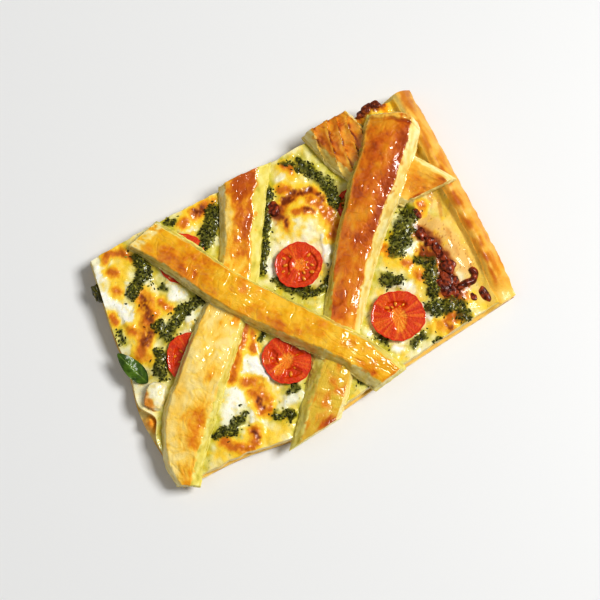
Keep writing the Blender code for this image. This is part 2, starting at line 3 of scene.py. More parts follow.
import bpy
import numpy as np
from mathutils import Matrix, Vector, noise
from mathutils.bvhtree import BVHTree


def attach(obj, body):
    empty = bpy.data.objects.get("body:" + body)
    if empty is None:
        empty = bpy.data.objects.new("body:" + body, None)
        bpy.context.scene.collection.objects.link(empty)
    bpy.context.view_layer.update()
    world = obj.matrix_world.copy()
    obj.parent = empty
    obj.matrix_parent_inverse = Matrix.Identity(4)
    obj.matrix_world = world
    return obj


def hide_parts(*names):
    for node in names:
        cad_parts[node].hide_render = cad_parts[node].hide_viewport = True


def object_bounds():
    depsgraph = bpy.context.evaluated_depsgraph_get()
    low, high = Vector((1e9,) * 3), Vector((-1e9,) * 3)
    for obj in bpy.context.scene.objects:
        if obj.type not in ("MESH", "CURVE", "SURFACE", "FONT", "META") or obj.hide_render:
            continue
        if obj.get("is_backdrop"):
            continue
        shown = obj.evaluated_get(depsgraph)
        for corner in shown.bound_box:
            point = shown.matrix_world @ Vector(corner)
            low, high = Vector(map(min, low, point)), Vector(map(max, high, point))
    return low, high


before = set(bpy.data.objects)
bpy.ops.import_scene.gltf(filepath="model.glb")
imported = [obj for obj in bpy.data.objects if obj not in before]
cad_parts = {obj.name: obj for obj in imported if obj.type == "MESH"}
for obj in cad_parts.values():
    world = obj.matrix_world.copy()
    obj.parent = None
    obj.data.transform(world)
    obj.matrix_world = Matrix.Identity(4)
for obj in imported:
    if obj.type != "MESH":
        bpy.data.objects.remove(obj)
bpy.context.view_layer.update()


# Pastry base
# Puff pastry rolled out, docked and baked, with one side folded up into a
# border. The slice was cut with a knife, so three sides show the baked layers
# and the border keeps its rounded, browned outside.
MM = 0.001
PLAN_MIDDLE = (-1.3222, -3.4361)
LEFT_CUT = ((-98.0, -60.0), (-99.6, -44.0), (-99.8, -18.0), (-95.0, 2.0), (-92.5, 24.0), (-85.2, 61.0))
RIM_LINE = ((91.5, -58.0), (94.3, -30.0), (96.0, 0.0), (97.6, 32.0), (98.2, 59.0))
NEAR_CUT = ((-98.0, -60.0), (-66.0, -61.6), (-40.0, -66.4), (-24.0, -66.8), (22.0, -62.4), (91.5, -58.0))
FAR_CUT = ((-85.2, 61.0), (-40.0, 61.6), (10.0, 60.4), (52.0, 61.4), (98.2, 59.0))
BASE_T = 5.0
RIM_HIGH, RIM_HIGH_AT_NEAR_CORNER = 17.0, 9.0
RIM_OUTER_EDGE, RIM_CREST_IN, RIM_W, CORNER_FADE = 10.0, 7.5, 18.5, 26.0
TIP_AT, TIP_R, TIP_HIGH = (-97.0, -25.0), 5.6, 7.0


def smooth(x):
    x = np.clip(x, 0.0, 1.0)
    return x * x * (3.0 - 2.0 * x)


def wobble(x, y, size, seed, z=None):
    """Noise from -1 to 1 with features of this size, at places in millimetres."""
    layer = seed * 7.31 * size
    x, y, z = np.broadcast_arrays(x, y, layer if z is None else np.asarray(z) + layer)
    spots = np.stack([x.ravel(), y.ravel(), z.ravel()], axis=1) / size
    return np.array([noise.noise(spot) for spot in spots.tolist()]).reshape(x.shape)


def along(rows, count):
    """Rows of numbers taken as a smooth curve, at evenly spaced places."""
    rows = np.array(rows, float)
    if len(rows) == 2:
        rows = np.stack([rows[0], rows.mean(0), rows[1]])
    padded = np.vstack([2 * rows[0] - rows[1], rows, 2 * rows[-1] - rows[-2]])
    t = (np.arange(20) / 20)[:, None]
    fine = [
        0.5 * (
            2 * p1
            + (p2 - p0) * t
            + (2 * p0 - 5 * p1 + 4 * p2 - p3) * t**2
            + (3 * p1 - p0 - 3 * p2 + p3) * t**3
        )
        for p0, p1, p2, p3 in (padded[i : i + 4] for i in range(len(rows) - 1))
    ]
    fine = np.vstack(fine + [rows[-1:]])
    run = np.concatenate([[0.0], np.cumsum(np.linalg.norm(np.diff(fine[:, :2], axis=0), axis=1))])
    places = np.linspace(0.0, run[-1], count)
    return np.stack([np.interp(places, run, fine[:, k]) for k in range(fine.shape[1])], axis=1)


EDGES = {name: along(line, 201) for name, line in
         (("left", LEFT_CUT), ("rim", RIM_LINE), ("near", NEAR_CUT), ("far", FAR_CUT))}


def on_edge(name, share):
    line = EDGES[name]
    place = np.clip(share, 0.0, 1.0) * (len(line) - 1)
    return np.stack([np.interp(place, np.arange(len(line)), line[:, k]) for k in (0, 1)], axis=-1)


def in_slice(s, t):
    """Place in the slice, s from the left cut to the border, t from the near cut to the far one."""
    s1, t1 = s[..., None], t[..., None]
    corners = (
        (1 - s1) * (1 - t1) * on_edge("near", 0.0)
        + s1 * (1 - t1) * on_edge("near", 1.0)
        + (1 - s1) * t1 * on_edge("far", 0.0)
        + s1 * t1 * on_edge("far", 1.0)
    )
    across = (1 - t1) * on_edge("near", s) + t1 * on_edge("far", s)
    return across + (1 - s1) * on_edge("left", t) + s1 * on_edge("rim", t) - corners


def from_rim(x, y):
    """Distance in from the outer line of the raised border."""
    rim = EDGES["rim"]
    return np.interp(y, rim[:, 1], rim[:, 0]) - x


def base_top(x, y):
    inward = from_rim(x, y)
    grown = smooth((y - EDGES["rim"][0][1]) / CORNER_FADE)
    up = RIM_HIGH_AT_NEAR_CORNER + (RIM_HIGH - RIM_HIGH_AT_NEAR_CORNER) * grown
    up = up + 0.8 * wobble(x, y, 22.0, 1)
    edge = np.minimum(RIM_OUTER_EDGE, up - 1.5)
    outer = edge + (up - edge) * np.sin(0.5 * np.pi * np.clip(inward, 0.0, RIM_CREST_IN) / RIM_CREST_IN)
    inner = BASE_T + (up - BASE_T) * (1.0 - smooth((inward - RIM_CREST_IN) / (RIM_W - RIM_CREST_IN)))
    tip = np.hypot(x - TIP_AT[0], y - TIP_AT[1]) / TIP_R
    return np.where(inward < RIM_CREST_IN, outer, inner) + TIP_HIGH * (1.0 - smooth(tip))


def spread(stops):
    """Shares from 0 to 1 with a chosen count of steps in each stretch."""
    made = [stops[0][0]]
    for (a, _), (b, count) in zip(stops[:-1], stops[1:]):
        made += [a + (b - a) * (i + 1) / count for i in range(count)]
    return np.array(made)


def brick(s_stops, t_stops, h_stops, plain_under=False):
    """The outside of a block as shares s, t and h of its points, with its faces turned outwards."""
    sizes = (len(s_stops), len(t_stops), len(h_stops))
    i, j, k = np.indices(sizes)
    ends = [(index == 0) | (index == size - 1) for index, size in zip((i, j, k), sizes)]
    shell = ends[0] | ends[1] | ends[2]
    if plain_under:
        shell &= (k > 0) | ends[0] | ends[1]
    number = np.full(sizes, -1)
    number[shell] = np.arange(shell.sum())
    sides = [(number[:, :, -1], 1), (number[0], -1), (number[-1], 1), (number[:, 0], 1), (number[:, -1], -1)]
    if not plain_under:
        sides.append((number[:, :, 0], -1))
    faces = []
    for grid, turn in sides:
        quads = np.stack([grid[:-1, :-1], grid[1:, :-1], grid[1:, 1:], grid[:-1, 1:]], axis=-1).reshape(-1, 4)
        faces += quads[:, ::turn].tolist()
    if plain_under:
        ring = [*number[:-1, 0, 0], *number[-1, :-1, 0], *number[:0:-1, -1, 0], *number[0, :0:-1, 0]]
        faces.append([int(index) for index in ring[::-1]])
    return s_stops[i[shell]], t_stops[j[shell]], h_stops[k[shell]], faces


def paint(under, *coats):
    """Lays coats over the colours under them, each a screen colour, 0 to 255, and its share from 0 to 1."""
    for colour, share in coats:
        under = under + (np.array(colour, float) - under) * np.clip(share, 0.0, 1.0)[..., None]
    return under


def make_piece(name, points, faces, colours, gloss, finish, sharp=55.0):
    """A mesh from points in millimetres of the plan, with its colours and roughness kept on the points."""
    points = (np.asarray(points) - (*PLAN_MIDDLE, 0.0)) * MM
    mesh = bpy.data.meshes.new(name)
    mesh.from_pydata(points.tolist(), [], faces)
    shares = np.clip(np.broadcast_to(colours, points.shape) / 255.0, 0.0, 1.0)
    linear = np.where(shares > 0.04, ((shares + 0.055) / 1.055) ** 2.4, shares / 12.92)
    tint = mesh.attributes.new("colour", "FLOAT_COLOR", "POINT")
    tint.data.foreach_set("color", np.concatenate([linear, np.ones((len(linear), 1))], axis=1).ravel())
    rough = mesh.attributes.new("gloss", "FLOAT", "POINT")
    rough.data.foreach_set("value", np.broadcast_to(gloss, len(points)).astype(np.float32))
    mesh.materials.append(finish.material)
    mesh.shade_smooth()
    mesh.set_sharp_from_angle(angle=math.radians(sharp))
    piece = bpy.data.objects.new(name, mesh)
    bpy.context.scene.collection.objects.link(piece)
    return piece


class Value:
    """A shader socket that adds its own Math nodes where it is used in a sum."""

    def __init__(self, finish, socket):
        self.finish, self.socket = finish, socket

    def sum(self, operation, *others):
        return self.finish.add("ShaderNodeMath", {"operation": operation}, dict(enumerate((self, *others))))

    def __add__(self, other):
        return self.sum("ADD", other)

    def __sub__(self, other):
        return self.sum("SUBTRACT", other)

    def __rsub__(self, other):
        return self.finish.add("ShaderNodeMath", {"operation": "SUBTRACT"}, {0: other, 1: self})

    def __mul__(self, other):
        return self.sum("MULTIPLY", other)

    __radd__, __rmul__ = __add__, __mul__


class Finish:
    """One material: a Principled shader with fixed values on its sockets, and the nodes added to it."""

    def __init__(self, name, fixed):
        self.material = bpy.data.materials.new(name)
        self.material.use_nodes = True
        self.tree = self.material.node_tree
        self.shader = self.tree.nodes["Principled BSDF"]
        for socket, value in fixed.items():
            self.shader.inputs[socket].default_value = value

    def add(self, kind, settings, sockets, out=0):
        node = self.tree.nodes.new(kind)
        for name, value in settings.items():
            setattr(node, name, value)
        for name, value in sockets.items():
            self.join(value, node.inputs[name])
        return Value(self, node.outputs[out])

    def join(self, value, socket):
        if isinstance(value, Value):
            self.tree.links.new(value.socket, socket)
        else:
            socket.default_value = value

    def kept(self, name, out):
        return self.add("ShaderNodeAttribute", {"attribute_name": name}, {}, out)

    def grain(self, scale, detail=2.0):
        """Noise from 0 to 1 on the object's own coordinates; scale is cells to a metre."""
        where = self.add("ShaderNodeTexCoord", {}, {}, "Object")
        return self.add("ShaderNodeTexNoise", {}, {"Vector": where, "Scale": scale, "Detail": detail}, "Fac")

    def mix(self, share, first, second):
        """The first colour turned into the second by a share from 0 to 1."""
        return self.add("ShaderNodeMix", {"data_type": "RGBA"}, {0: share, 6: first, 7: second}, 2)

    def dress(self, colour, rough, height, distance):
        """Joins colour, roughness and a bump of this depth in metres to the shader."""
        self.join(colour, self.shader.inputs["Base Color"])
        self.join(rough, self.shader.inputs["Roughness"])
        sockets = {"Height": height, "Distance": distance, "Strength": 1.0}
        self.join(self.add("ShaderNodeBump", {}, sockets, "Normal"), self.shader.inputs["Normal"])
        return self

    def shaded(self, colour, share, dark, light):
        """The colour made darker and lighter by a share from 0 to 1."""
        level = self.add("ShaderNodeMapRange", {}, {"Value": share, "To Min": dark, "To Max": light})
        return self.add("ShaderNodeVectorMath", {"operation": "SCALE"}, {0: colour, "Scale": level})


baked = Finish("baked_puff_pastry", {"Specular IOR Level": 0.2, "Coat Weight": 0.2, "Coat Roughness": 0.15})
fine, coarse = baked.grain(2600.0), baked.grain(700.0, 3.0)
baked.dress(
    baked.shaded(baked.kept("colour", "Color"), fine * 0.5 + coarse * 0.5, 0.72, 1.26),
    baked.kept("gloss", "Fac") + (coarse - 0.5) * 0.25,
    fine * 0.4 + coarse * 0.6,
    0.0003,
)

s, t, h, faces = brick(
    spread([(0.0, 0), (0.03, 10), (0.86, 56), (1.0, 46)]),
    spread([(0.0, 0), (0.03, 7), (0.97, 150), (1.0, 7)]),
    spread([(0.0, 0), (1.0, 16)]),
)
x, y = in_slice(s, t).T
inward = from_rim(x, y)
rim = 1.0 - smooth((inward - 11.0) / 5.0)
lid = base_top(x, y)
wrinkles = 0.16 * wobble(x, y / 9.0, 1.5, 71) + 0.22 * wobble(x, y, 3.2, 72) + 0.4 * wobble(x, y, 9.0, 70)
lid = lid + rim * wrinkles
lid = lid + 0.3 * rim * np.abs(wobble(x, y, 1.8, 73)) * smooth((inward - 9.0) / 3.0)
crumpled = 1.0 - smooth((np.hypot(x - TIP_AT[0], y - TIP_AT[1]) - 3.0) / 4.0)
lid = lid + crumpled * (1.3 * wobble(x, y, 2.6, 119) + 0.6 * wobble(x, y, 1.2, 120))
under = 0.12 * wobble(x, y, 5.0, 74) + 0.12
z = under + h * (lid - under)
wall = np.sin(np.pi * np.clip(h, 0.0, 1.0)) ** 0.35 * ((h > 0) & (h < 1))
leaves = np.sin(2 * np.pi * z / 1.15 + 2.2 * wobble(x, y, 9.0, 75, z) + 1.1 * wobble(x, y, 3.0, 76, z))
flake = wall * (0.32 * leaves + 0.5 * wobble(x, y, 4.0, 12, z) + 0.25 * wobble(x, y, 1.3, 77, z) - 0.3)
x = x + flake * ((s == 1.0).astype(float) * 0.7 - (s == 0.0))
y = y + flake * ((t == 1.0).astype(float) - (t == 0.0))
ragged = 0.5 * wobble(x, y, 5.0, 78) + 0.25 * wobble(x, y, 1.7, 79)
x = x + ragged * (s == 1.0)

streaks = wobble(x + 2.0 * wobble(x, y, 9.0, 83), y / 6.0, 2.0, 80)
blotch = wobble(x, y, 7.0, 81) + 0.6 * wobble(x, y, 2.5, 82)
on_top = (h == 1.0).astype(float)
on_rim = on_top * rim
hot = smooth((y + 62.0) / 26.0)
crest = np.exp(-(((inward - 7.0) / 2.0) ** 2)) * hot
inner_side = smooth((inward - 8.2) / 2.0) * (1.0 - smooth((y - 36.0) / 8.0))
valley = np.exp(-(((inward - 13.5) / 3.2) ** 2))
far_end = smooth((y - 44.0) / 6.0)
tip_away = np.hypot(x - TIP_AT[0], y - TIP_AT[1]) + 1.5 * blotch
sides = ((h > 0) & (h < 1)).astype(float)
colours = paint(
    np.full((len(x), 3), (248.0, 222.0, 146.0)),
    ((236, 186, 84), 0.55 + 0.5 * blotch),
    # The border: golden all over, streaked and browned along its crest, paler at its ends and inner side
    ((238, 172, 52), on_rim * (0.85 + 0.4 * blotch)),
    ((222, 134, 20), on_rim * smooth(0.25 + 1.1 * streaks + 0.5 * blotch) * hot),
    ((180, 82, 4), on_top * crest * smooth(0.5 + blotch + streaks) * 0.8),
    ((248, 200, 92), on_rim * smooth((y - 5.0) / 30.0) * 0.3),
    ((238, 190, 84), on_top * inner_side * 0.7),
    ((240, 198, 96), on_top * valley * 0.7),
    ((255, 226, 130), on_top * smooth((inward - 8.5) / 2.0) * smooth((y - 20.0) / 8.0) * 0.8),
    ((252, 210, 100), on_rim * smooth((-46.0 - y) / 10.0) * 0.7),
    ((252, 232, 144), on_top * far_end * smooth((inward - 7.0) / 3.0)),
    ((192, 108, 26), on_rim * far_end * smooth((7.5 - inward) / 3.0) * smooth(0.6 + blotch) * 0.7),
    # The crumpled flake at the left cut: browned in its middle, with pale painted light around it that
    # offsets the shade it lies in
    ((255, 236, 160), on_top * (1.0 - smooth((tip_away - 7.5) / 2.0))),
    ((255, 190, 76), on_top * (1.0 - smooth((tip_away - 3.0) / 2.0))),
    ((226, 128, 28), on_top * (1.0 - smooth((tip_away - 1.0) / 1.6)) * 0.8),
    # Light and dark leaves of the cut sides, the browned outside and the underside
    ((255, 242, 184), sides * smooth(0.5 + 0.7 * leaves) * 0.8),
    ((220, 156, 60), sides * smooth(-0.2 - 1.2 * leaves) * 0.55),
    ((222, 146, 36), sides * (s == 1.0) * (0.75 + 0.4 * blotch)),
    ((206, 140, 56), smooth((1.6 - z) / 1.2) * 0.8),
    ((202, 140, 68), (h == 0.0) * (0.85 + 0.3 * blotch)),
)
pastry_base =make_piece("puff_pastry_base", np.stack([x, y, z], 1), faces, colours, 0.46 - 0.1 * rim, baked)
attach(pastry_base, "root")
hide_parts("pastry_base")


# Cheese filling
# Egg and cream cheese spread on the pastry with spooned fresh cheese, baked
# until it set. It blistered and browned in spots, and oil from the herb paste
# runs yellow-green along the strips and into the hollow beside the border.
FILL_TOP, FILL_INSET, FILL_FROM_RIM, FILL_SWELL = 13.0, 1.2, 10.5, 0.9
# Mounds and hollows of the filling: place, radius, height
MOUNDS = (
    (17.5, 29.5, 9.5, 3.0),
    (76.0, 56.5, 6.0, 5.0),
    (-76.5, 47.0, 11.0, 1.4),
    (-67.0, 21.0, 12.0, 1.2),
    (-44.0, -26.0, 13.0, 1.4),
    (-24.0, -49.0, 7.0, 1.2),
    (-60.0, -50.0, 9.0, 0.6),
    (56.0, -33.0, 8.0, 0.9),
    (73.0, -10.0, 8.0, 2.2),
    (74.5, -20.0, 8.0, 2.4),
    (74.0, -31.0, 7.0, 1.8),
    (46.0, -14.0, 9.0, 1.0),
    (24.0, 48.0, 7.0, 1.0),
    (-35.0, 54.0, 8.0, 0.8),
    (78.0, -51.0, 9.0, -3.0),
    (-95.0, -4.0, 8.0, -3.6),
    (-96.0, 6.0, 8.0, -3.2),
    (-96.0, -56.0, 16.0, -3.0),
)
PASTE_HIGH = 1.1
# Heaps of herb paste: width, then points
PASTE = (
    (8.0, ((-19.1, 51.2), (-31.0, 39.8))),
    (4.0, ((10.2, 47.5), (-12.7, 13.8))),
    (6.0, ((30.8, 52.4), (37.3, 35.7), (36.5, 26.2))),
    (4.5, ((-8.9, 5.3), (-1.8, -5.1), (5.1, -8.9), (10.7, -8.1))),
    (6.5, ((-63.1, 49.2), (-64.6, 40.3), (-73.3, 35.4))),
    (5.5, ((-47.4, 16.2), (-59.6, 14.5), (-64.8, 10.0))),
    (7.0, ((-70.2, 13.5), (-70.2, 9.0))),
    (6.5, ((-76.8, 1.4), (-80.4, -7.3))),
    (5.0, ((-55.7, -44.3), (-63.1, -48.5), (-69.7, -46.4))),
    (4.5, ((-42.6, -51.7), (-35.6, -55.1))),
    (10.0, ((64.4, 1.5), (57.9, -4.5), (52.0, -9.2))),
    (6.5, ((58.5, -20.1), (61.1, -24.4), (57.3, -32.7), (56.5, -38.0))),
    (7.0, ((51.4, -43.8), (56.8, -47.4), (61.5, -46.0), (63.7, -50.1), (62.7, -57.6))),
    (5.0, ((38.0, -19.8), (43.3, -24.0))),
)
# Smaller dabs of paste that lie flat: width, then points
DABS = (
    (3.5, ((-41.2, 58.0), (-38.5, 57.0))),
    (3.0, ((-59.3, 32.0), (-59.3, 28.8))),
    (3.0, ((-89.0, 21.0), (-89.4, 17.0))),
    (4.0, ((-29.9, -44.9), (-26.5, -44.6))),
    (3.2, ((-29.9, -16.0), (-26.0, -12.4))),
    (3.4, ((40.6, -53.5), (34.1, -54.5))),
    (3.2, ((43.5, -60.0), (46.5, -59.0))),
    (3.0, ((21.6, -47.5), (21.0, -43.0))),
    (3.4, ((24.0, 56.5), (27.5, 50.0))),
    (3.2, ((19.6, -1.0), (13.5, -6.5))),
    (2.6, ((66.5, 6.0), (66.0, 2.0))),
    (4.0, ((3.0, -58.0), (8.0, -60.5))),
)
# Fresh cheese, melted butter yellow, toasted and burnt places: width, then points
FRESH = (
    (6.5, ((-64.5, 52.0), (-71.5, 57.5), (-80.0, 55.5), (-84.5, 50.0))),
    (5.0, ((-87.0, 40.0), (-85.5, 33.5), (-80.5, 30.5))),
    (5.0, ((-75.5, 39.5), (-74.0, 35.0))),
    (5.0, ((-84.5, 27.0), (-80.5, 22.5), (-76.8, 25.5))),
    (5.5, ((-66.0, 36.5), (-65.0, 30.0))),
    (5.5, ((-57.5, 24.5), (-52.5, 23.0), (-55.5, 31.0), (-50.5, 31.5))),
    (5.0, ((-55.0, 10.8), (-52.5, 8.0))),
    (5.0, ((-51.5, 12.0), (-45.0, 11.0))),
    (11.0, ((-34.0, -6.0), (-41.0, -16.0), (-47.5, -23.5), (-55.0, -31.5), (-60.5, -38.0))),
    (8.0, ((-60.5, -38.0), (-64.5, -43.5), (-61.0, -42.0))),
    (6.0, ((-54.0, -33.0), (-52.5, -38.0))),
    (6.0, ((-36.5, -16.0), (-38.5, -24.0), (-38.0, -30.0), (-38.5, -34.0))),
    (6.0, ((-30.0, -48.5), (-34.0, -50.5), (-26.0, -49.5))),
    (4.5, ((-50.0, -46.5), (-52.5, -50.5))),
    (3.6, ((59.5, 5.0), (57.0, 2.0))),
    (5.0, ((58.5, -12.0), (54.0, -14.0), (50.5, -12.5))),
    (5.5, ((47.5, -42.0), (48.5, -47.5))),
    (4.5, ((40.5, -24.5), (44.5, -28.0))),
    (4.0, ((27.0, -55.0), (24.5, -52.0))),
    (5.0, ((18.5, 1.5), (20.5, 8.0), (23.0, 13.0))),
    (4.5, ((-8.5, 16.5), (-8.2, 7.5))),
    (4.5, ((24.5, 53.5), (18.5, 50.5))),
    (4.0, ((-37.5, 51.5), (-31.5, 48.5))),
    (4.5, ((-25.0, 39.5), (-23.5, 35.5))),
    (4.0, ((71.5, 6.0), (70.0, 3.0))),
)
BUTTERY = (
    (9.0, ((-75.0, 46.5), (-79.5, 42.0))),
    (8.0, ((-79.0, 54.0), (-72.5, 55.5), (-67.0, 50.0))),
    (13.0, ((-65.0, 22.0), (-68.5, 29.0), (-73.0, 20.0), (-80.0, 13.5))),
    (6.0, ((-87.0, 31.0), (-86.5, 24.0))),
    (9.0, ((-82.0, 3.0), (-83.5, 9.0))),
    (8.0, ((-44.5, -31.0), (-45.5, -38.0), (-45.5, -47.0))),
    (9.0, ((-31.0, -10.5), (-37.5, -18.0))),
    (9.0, ((-72.0, -56.5), (-62.0, -60.0), (-50.0, -60.5), (-42.0, -58.5), (-33.0, -55.0))),
    (12.0, ((12.5, 37.0), (24.0, 39.0), (29.0, 30.0), (28.0, 18.0))),
    (9.0, ((21.0, 53.0), (29.5, 49.0))),
    (8.0, ((52.0, -18.5), (46.0, -15.0))),
    (7.0, ((53.0, -25.0), (53.0, -32.0))),
    (8.0, ((48.0, -53.0), (55.0, -58.0))),
    (9.0, ((-20.0, 55.5), (-35.0, 54.0), (-27.0, 50.0))),
    (7.0, ((72.0, -50.0), (76.0, -56.0))),
)
TOASTED = (
    (3.4, ((-77.8, 49.2), (-77.0, 48.6))),
    (3.2, ((-80.5, 40.6), (-79.8, 40.0))),
    (2.2, ((-78.5, 56.5), (-74.0, 58.2), (-69.0, 56.0), (-66.0, 51.0))),
    (5.0, ((-69.8, 30.5), (-71.8, 24.0), (-74.5, 18.0), (-80.5, 12.0), (-84.0, 6.0))),
    (3.6, ((-82.8, 19.2), (-82.2, 18.0))),
    (3.0, ((-72.0, 25.0), (-69.5, 20.5))),
    (2.2, ((-64.0, 24.0), (-61.8, 19.5))),
    (2.2, ((-88.4, 30.0), (-88.6, 27.5))),
    (2.4, ((-32.5, -5.5), (-39.0, -12.5), (-46.5, -20.5), (-52.0, -27.0))),
    (3.6, ((-47.4, -30.5), (-43.6, -33.0), (-42.6, -38.5))),
    (4.0, ((-46.0, -38.0), (-45.4, -47.5))),
    (2.6, ((-42.8, -38.0), (-41.6, -43.5), (-43.5, -47.5))),
    (4.2, ((-54.4, -53.6), (-56.8, -57.6))),
    (3.0, ((-69.8, -51.5), (-67.6, -56.0), (-60.0, -60.0))),
    (2.0, ((-31.5, -11.5), (-36.0, -19.5))),
    (3.2, ((10.8, 35.2), (15.5, 39.0), (23.0, 39.4), (29.5, 35.0), (30.5, 30.0))),
    (1.8, ((15.8, 31.4), (16.6, 30.6))),
    (2.2, ((19.8, 29.8), (24.6, 26.2))),
    (3.4, ((31.5, 24.0), (31.0, 16.0), (26.5, 12.0))),
    (3.2, ((9.4, 30.6), (9.0, 27.0))),
    (3.0, ((16.2, 44.6), (19.0, 42.6))),
    (2.6, ((23.0, 54.5), (25.0, 51.5))),
    (3.0, ((44.6, -5.0), (46.8, -10.0))),
    (2.6, ((50.5, -17.5), (52.5, -20.0))),
    (3.4, ((53.6, -25.2), (54.4, -28.0))),
    (4.4, ((52.0, -54.0), (54.5, -58.5))),
    (4.6, ((57.0, -52.5), (61.5, -54.6))),
    (4.4, ((-22.0, 56.2), (-28.5, 55.2))),
    (2.6, ((-33.5, 54.6), (-36.5, 53.0))),
    (2.0, ((-17.0, 57.2), (-18.5, 55.0))),
    (2.6, ((72.8, 3.6), (71.0, 1.0))),
    (5.5, ((64.5, -31.0), (63.0, -40.0), (66.0, -46.5))),
    (4.0, ((61.5, -17.5), (64.5, -24.5))),
    (4.5, ((68.0, 58.0), (75.0, 59.5), (82.0, 57.5))),
    (4.0, ((26.0, 34.0), (29.5, 26.0), (29.0, 18.0))),
)
BURNT = (
    (2.0, ((-70.3, 29.5), (-72.0, 23.0), (-72.6, 19.5))),
    (2.4, ((-76.5, 14.5), (-81.0, 10.5))),
    (1.6, ((12.5, 37.8), (16.5, 40.3), (22.5, 40.4), (27.5, 37.2))),
    (1.2, ((20.6, 29.4), (23.8, 27.2))),
    (1.4, ((30.0, 33.4), (30.4, 30.0))),
    (1.2, ((-45.8, -40.5), (-45.2, -45.0))),
    (1.4, ((-55.2, -54.6), (-56.0, -57.0))),
    (1.6, ((-23.5, 56.4), (-27.0, 55.8))),
    (1.8, ((53.6, -56.6), (55.5, -59.4))),
    (1.2, ((9.6, 30.0), (9.2, 28.0))),
    (3.0, ((69.0, 58.5), (73.0, 60.5), (76.0, 58.0), (81.0, 58.5))),
)
# Brown juice under the onion: width, then points
ONION_JUICE = (
    (6.5, ((64.5, -7.5), (68.0, -16.0), (68.4, -26.0), (68.0, -31.0))),
    (9.5, ((65.0, -33.0), (63.0, -40.0), (67.0, -42.0))),
    (5.0, ((67.0, -42.0), (72.0, -42.0))),
    (5.5, ((61.5, -17.5), (64.5, -22.0))),
    (5.5, ((7.1, 38.5), (7.6, 34.0))),
)
# Middle of the smooth swelling beside the onion
DOME_LINE = ((69.5, -4.0), (73.0, -12.0), (76.0, -22.0), (76.5, -33.0))


def to_stroke(x, y, points):
    """Distance from places to a line through points."""
    best = np.full(np.shape(x), 1e9)
    for (ax, ay), (bx, by) in zip(points[:-1], points[1:]):
        wx, wy = bx - ax, by - ay
        share = np.clip(((x - ax) * wx + (y - ay) * wy) / (wx * wx + wy * wy), 0.0, 1.0)
        best = np.minimum(best, np.hypot(x - ax - share * wx, y - ay - share * wy))
    return best


def strokes(x, y, rows, soft=0.45):
    """Share from 0 to 1 of the places that lie in any of these strokes."""
    best = np.zeros(np.shape(x))
    for width, points in rows:
        past_side = to_stroke(x, y, points) / (width / 2) - 1.0
        best = np.maximum(best, 1.0 - smooth((past_side + soft) / (2 * soft)))
    return best


def widened(rows, factor, more):
    return [(factor * width + more, points) for width, points in rows]


# Paths of the pastry strips: place, height of the underside and of the top, width, tilt to one side
STRIP_LEFT = (
    (3.9, 61.2, 11.8, 19.2, 25.0, 0.0),
    (-10.8, 38.1, 11.8, 19.6, 22.0, 0.0),
    (-18.6, 25.2, 11.8, 18.8, 21.0, 0.0),
    (-30.0, 12.0, 11.8, 17.6, 22.5, 0.0),
    (-40.0, 2.6, 11.8, 18.2, 24.0, 0.0),
    (-57.5, -12.6, 11.8, 22.0, 24.5, 0.0),
    (-69.4, -23.5, 11.4, 21.0, 25.5, 0.0),
    (-80.2, -33.6, 10.4, 19.0, 26.0, 0.0),
    (-91.3, -49.0, 8.6, 15.8, 20.0, 0.0),
    (-95.6, -61.0, 7.6, 13.4, 11.0, 0.0),
)
STRIP_RIGHT = (
    (83.4, 51.2, 16.6, 23.6, 25.0, 2.0),
    (78.0, 43.6, 15.4, 26.2, 29.0, 2.0),
    (68.8, 33.1, 12.4, 26.2, 27.5, 1.0),
    (57.1, 22.7, 11.8, 25.2, 26.8, 0.3),
    (46.5, 12.6, 11.8, 23.4, 24.8, 0.0),
    (36.4, 3.0, 11.8, 21.4, 23.2, 0.0),
    (17.6, -17.9, 11.8, 18.2, 20.4, 0.0),
    (2.0, -36.0, 11.8, 16.8, 20.8, 0.0),
    (-8.2, -47.9, 11.8, 18.2, 21.4, 0.0),
    (-18.8, -58.5, 11.2, 18.2, 21.2, 0.0),
    (-29.8, -69.6, 10.2, 16.4, 19.5, 0.0),
)
STRIP_TOP = (
    (51.0, 63.4, 11.8, 20.6, 26.5, 0.0),
    (54.0, 51.0, 11.8, 20.4, 27.0, 0.0),
    (58.0, 40.0, 11.8, 18.4, 27.5, 0.0),
    (67.0, 25.5, 12.4, 18.2, 27.5, 0.4),
    (74.5, 14.5, 14.6, 19.6, 26.0, 2.2),
    (80.0, 6.8, 16.0, 20.0, 20.5, 3.0),
)
STRIP_LONG = (
    (-56.4, 59.8, 11.8, 20.4, 20.0, 0.0),
    (-44.6, 38.0, 11.8, 22.2, 20.2, 0.0),
    (-33.4, 14.2, 11.8, 24.6, 20.2, 0.0),
    (-20.4, -5.4, 11.8, 23.4, 20.2, 0.0),
    (-4.4, -28.6, 11.8, 24.8, 20.0, 0.0),
    (4.4, -41.8, 11.8, 24.6, 19.6, 0.0),
    (8.6, -49.2, 11.8, 23.6, 19.4, 0.0),
    (12.2, -56.6, 11.8, 21.6, 19.2, 0.0),
    (15.8, -64.8, 11.6, 19.8, 18.6, 0.0),
)
LATTICE = (STRIP_LEFT, STRIP_RIGHT, STRIP_TOP, STRIP_LONG)


def beside_strips(x, y):
    """Distance out from the side of the nearest pastry strip, negative under it."""
    best = np.full(np.shape(x), 1e9)
    for rows in LATTICE:
        path = along(rows, 40)
        away = np.hypot(x[..., None] - path[:, 0], y[..., None] - path[:, 1]) - path[:, 4] / 2
        best = np.minimum(best, away.min(axis=-1))
    return best


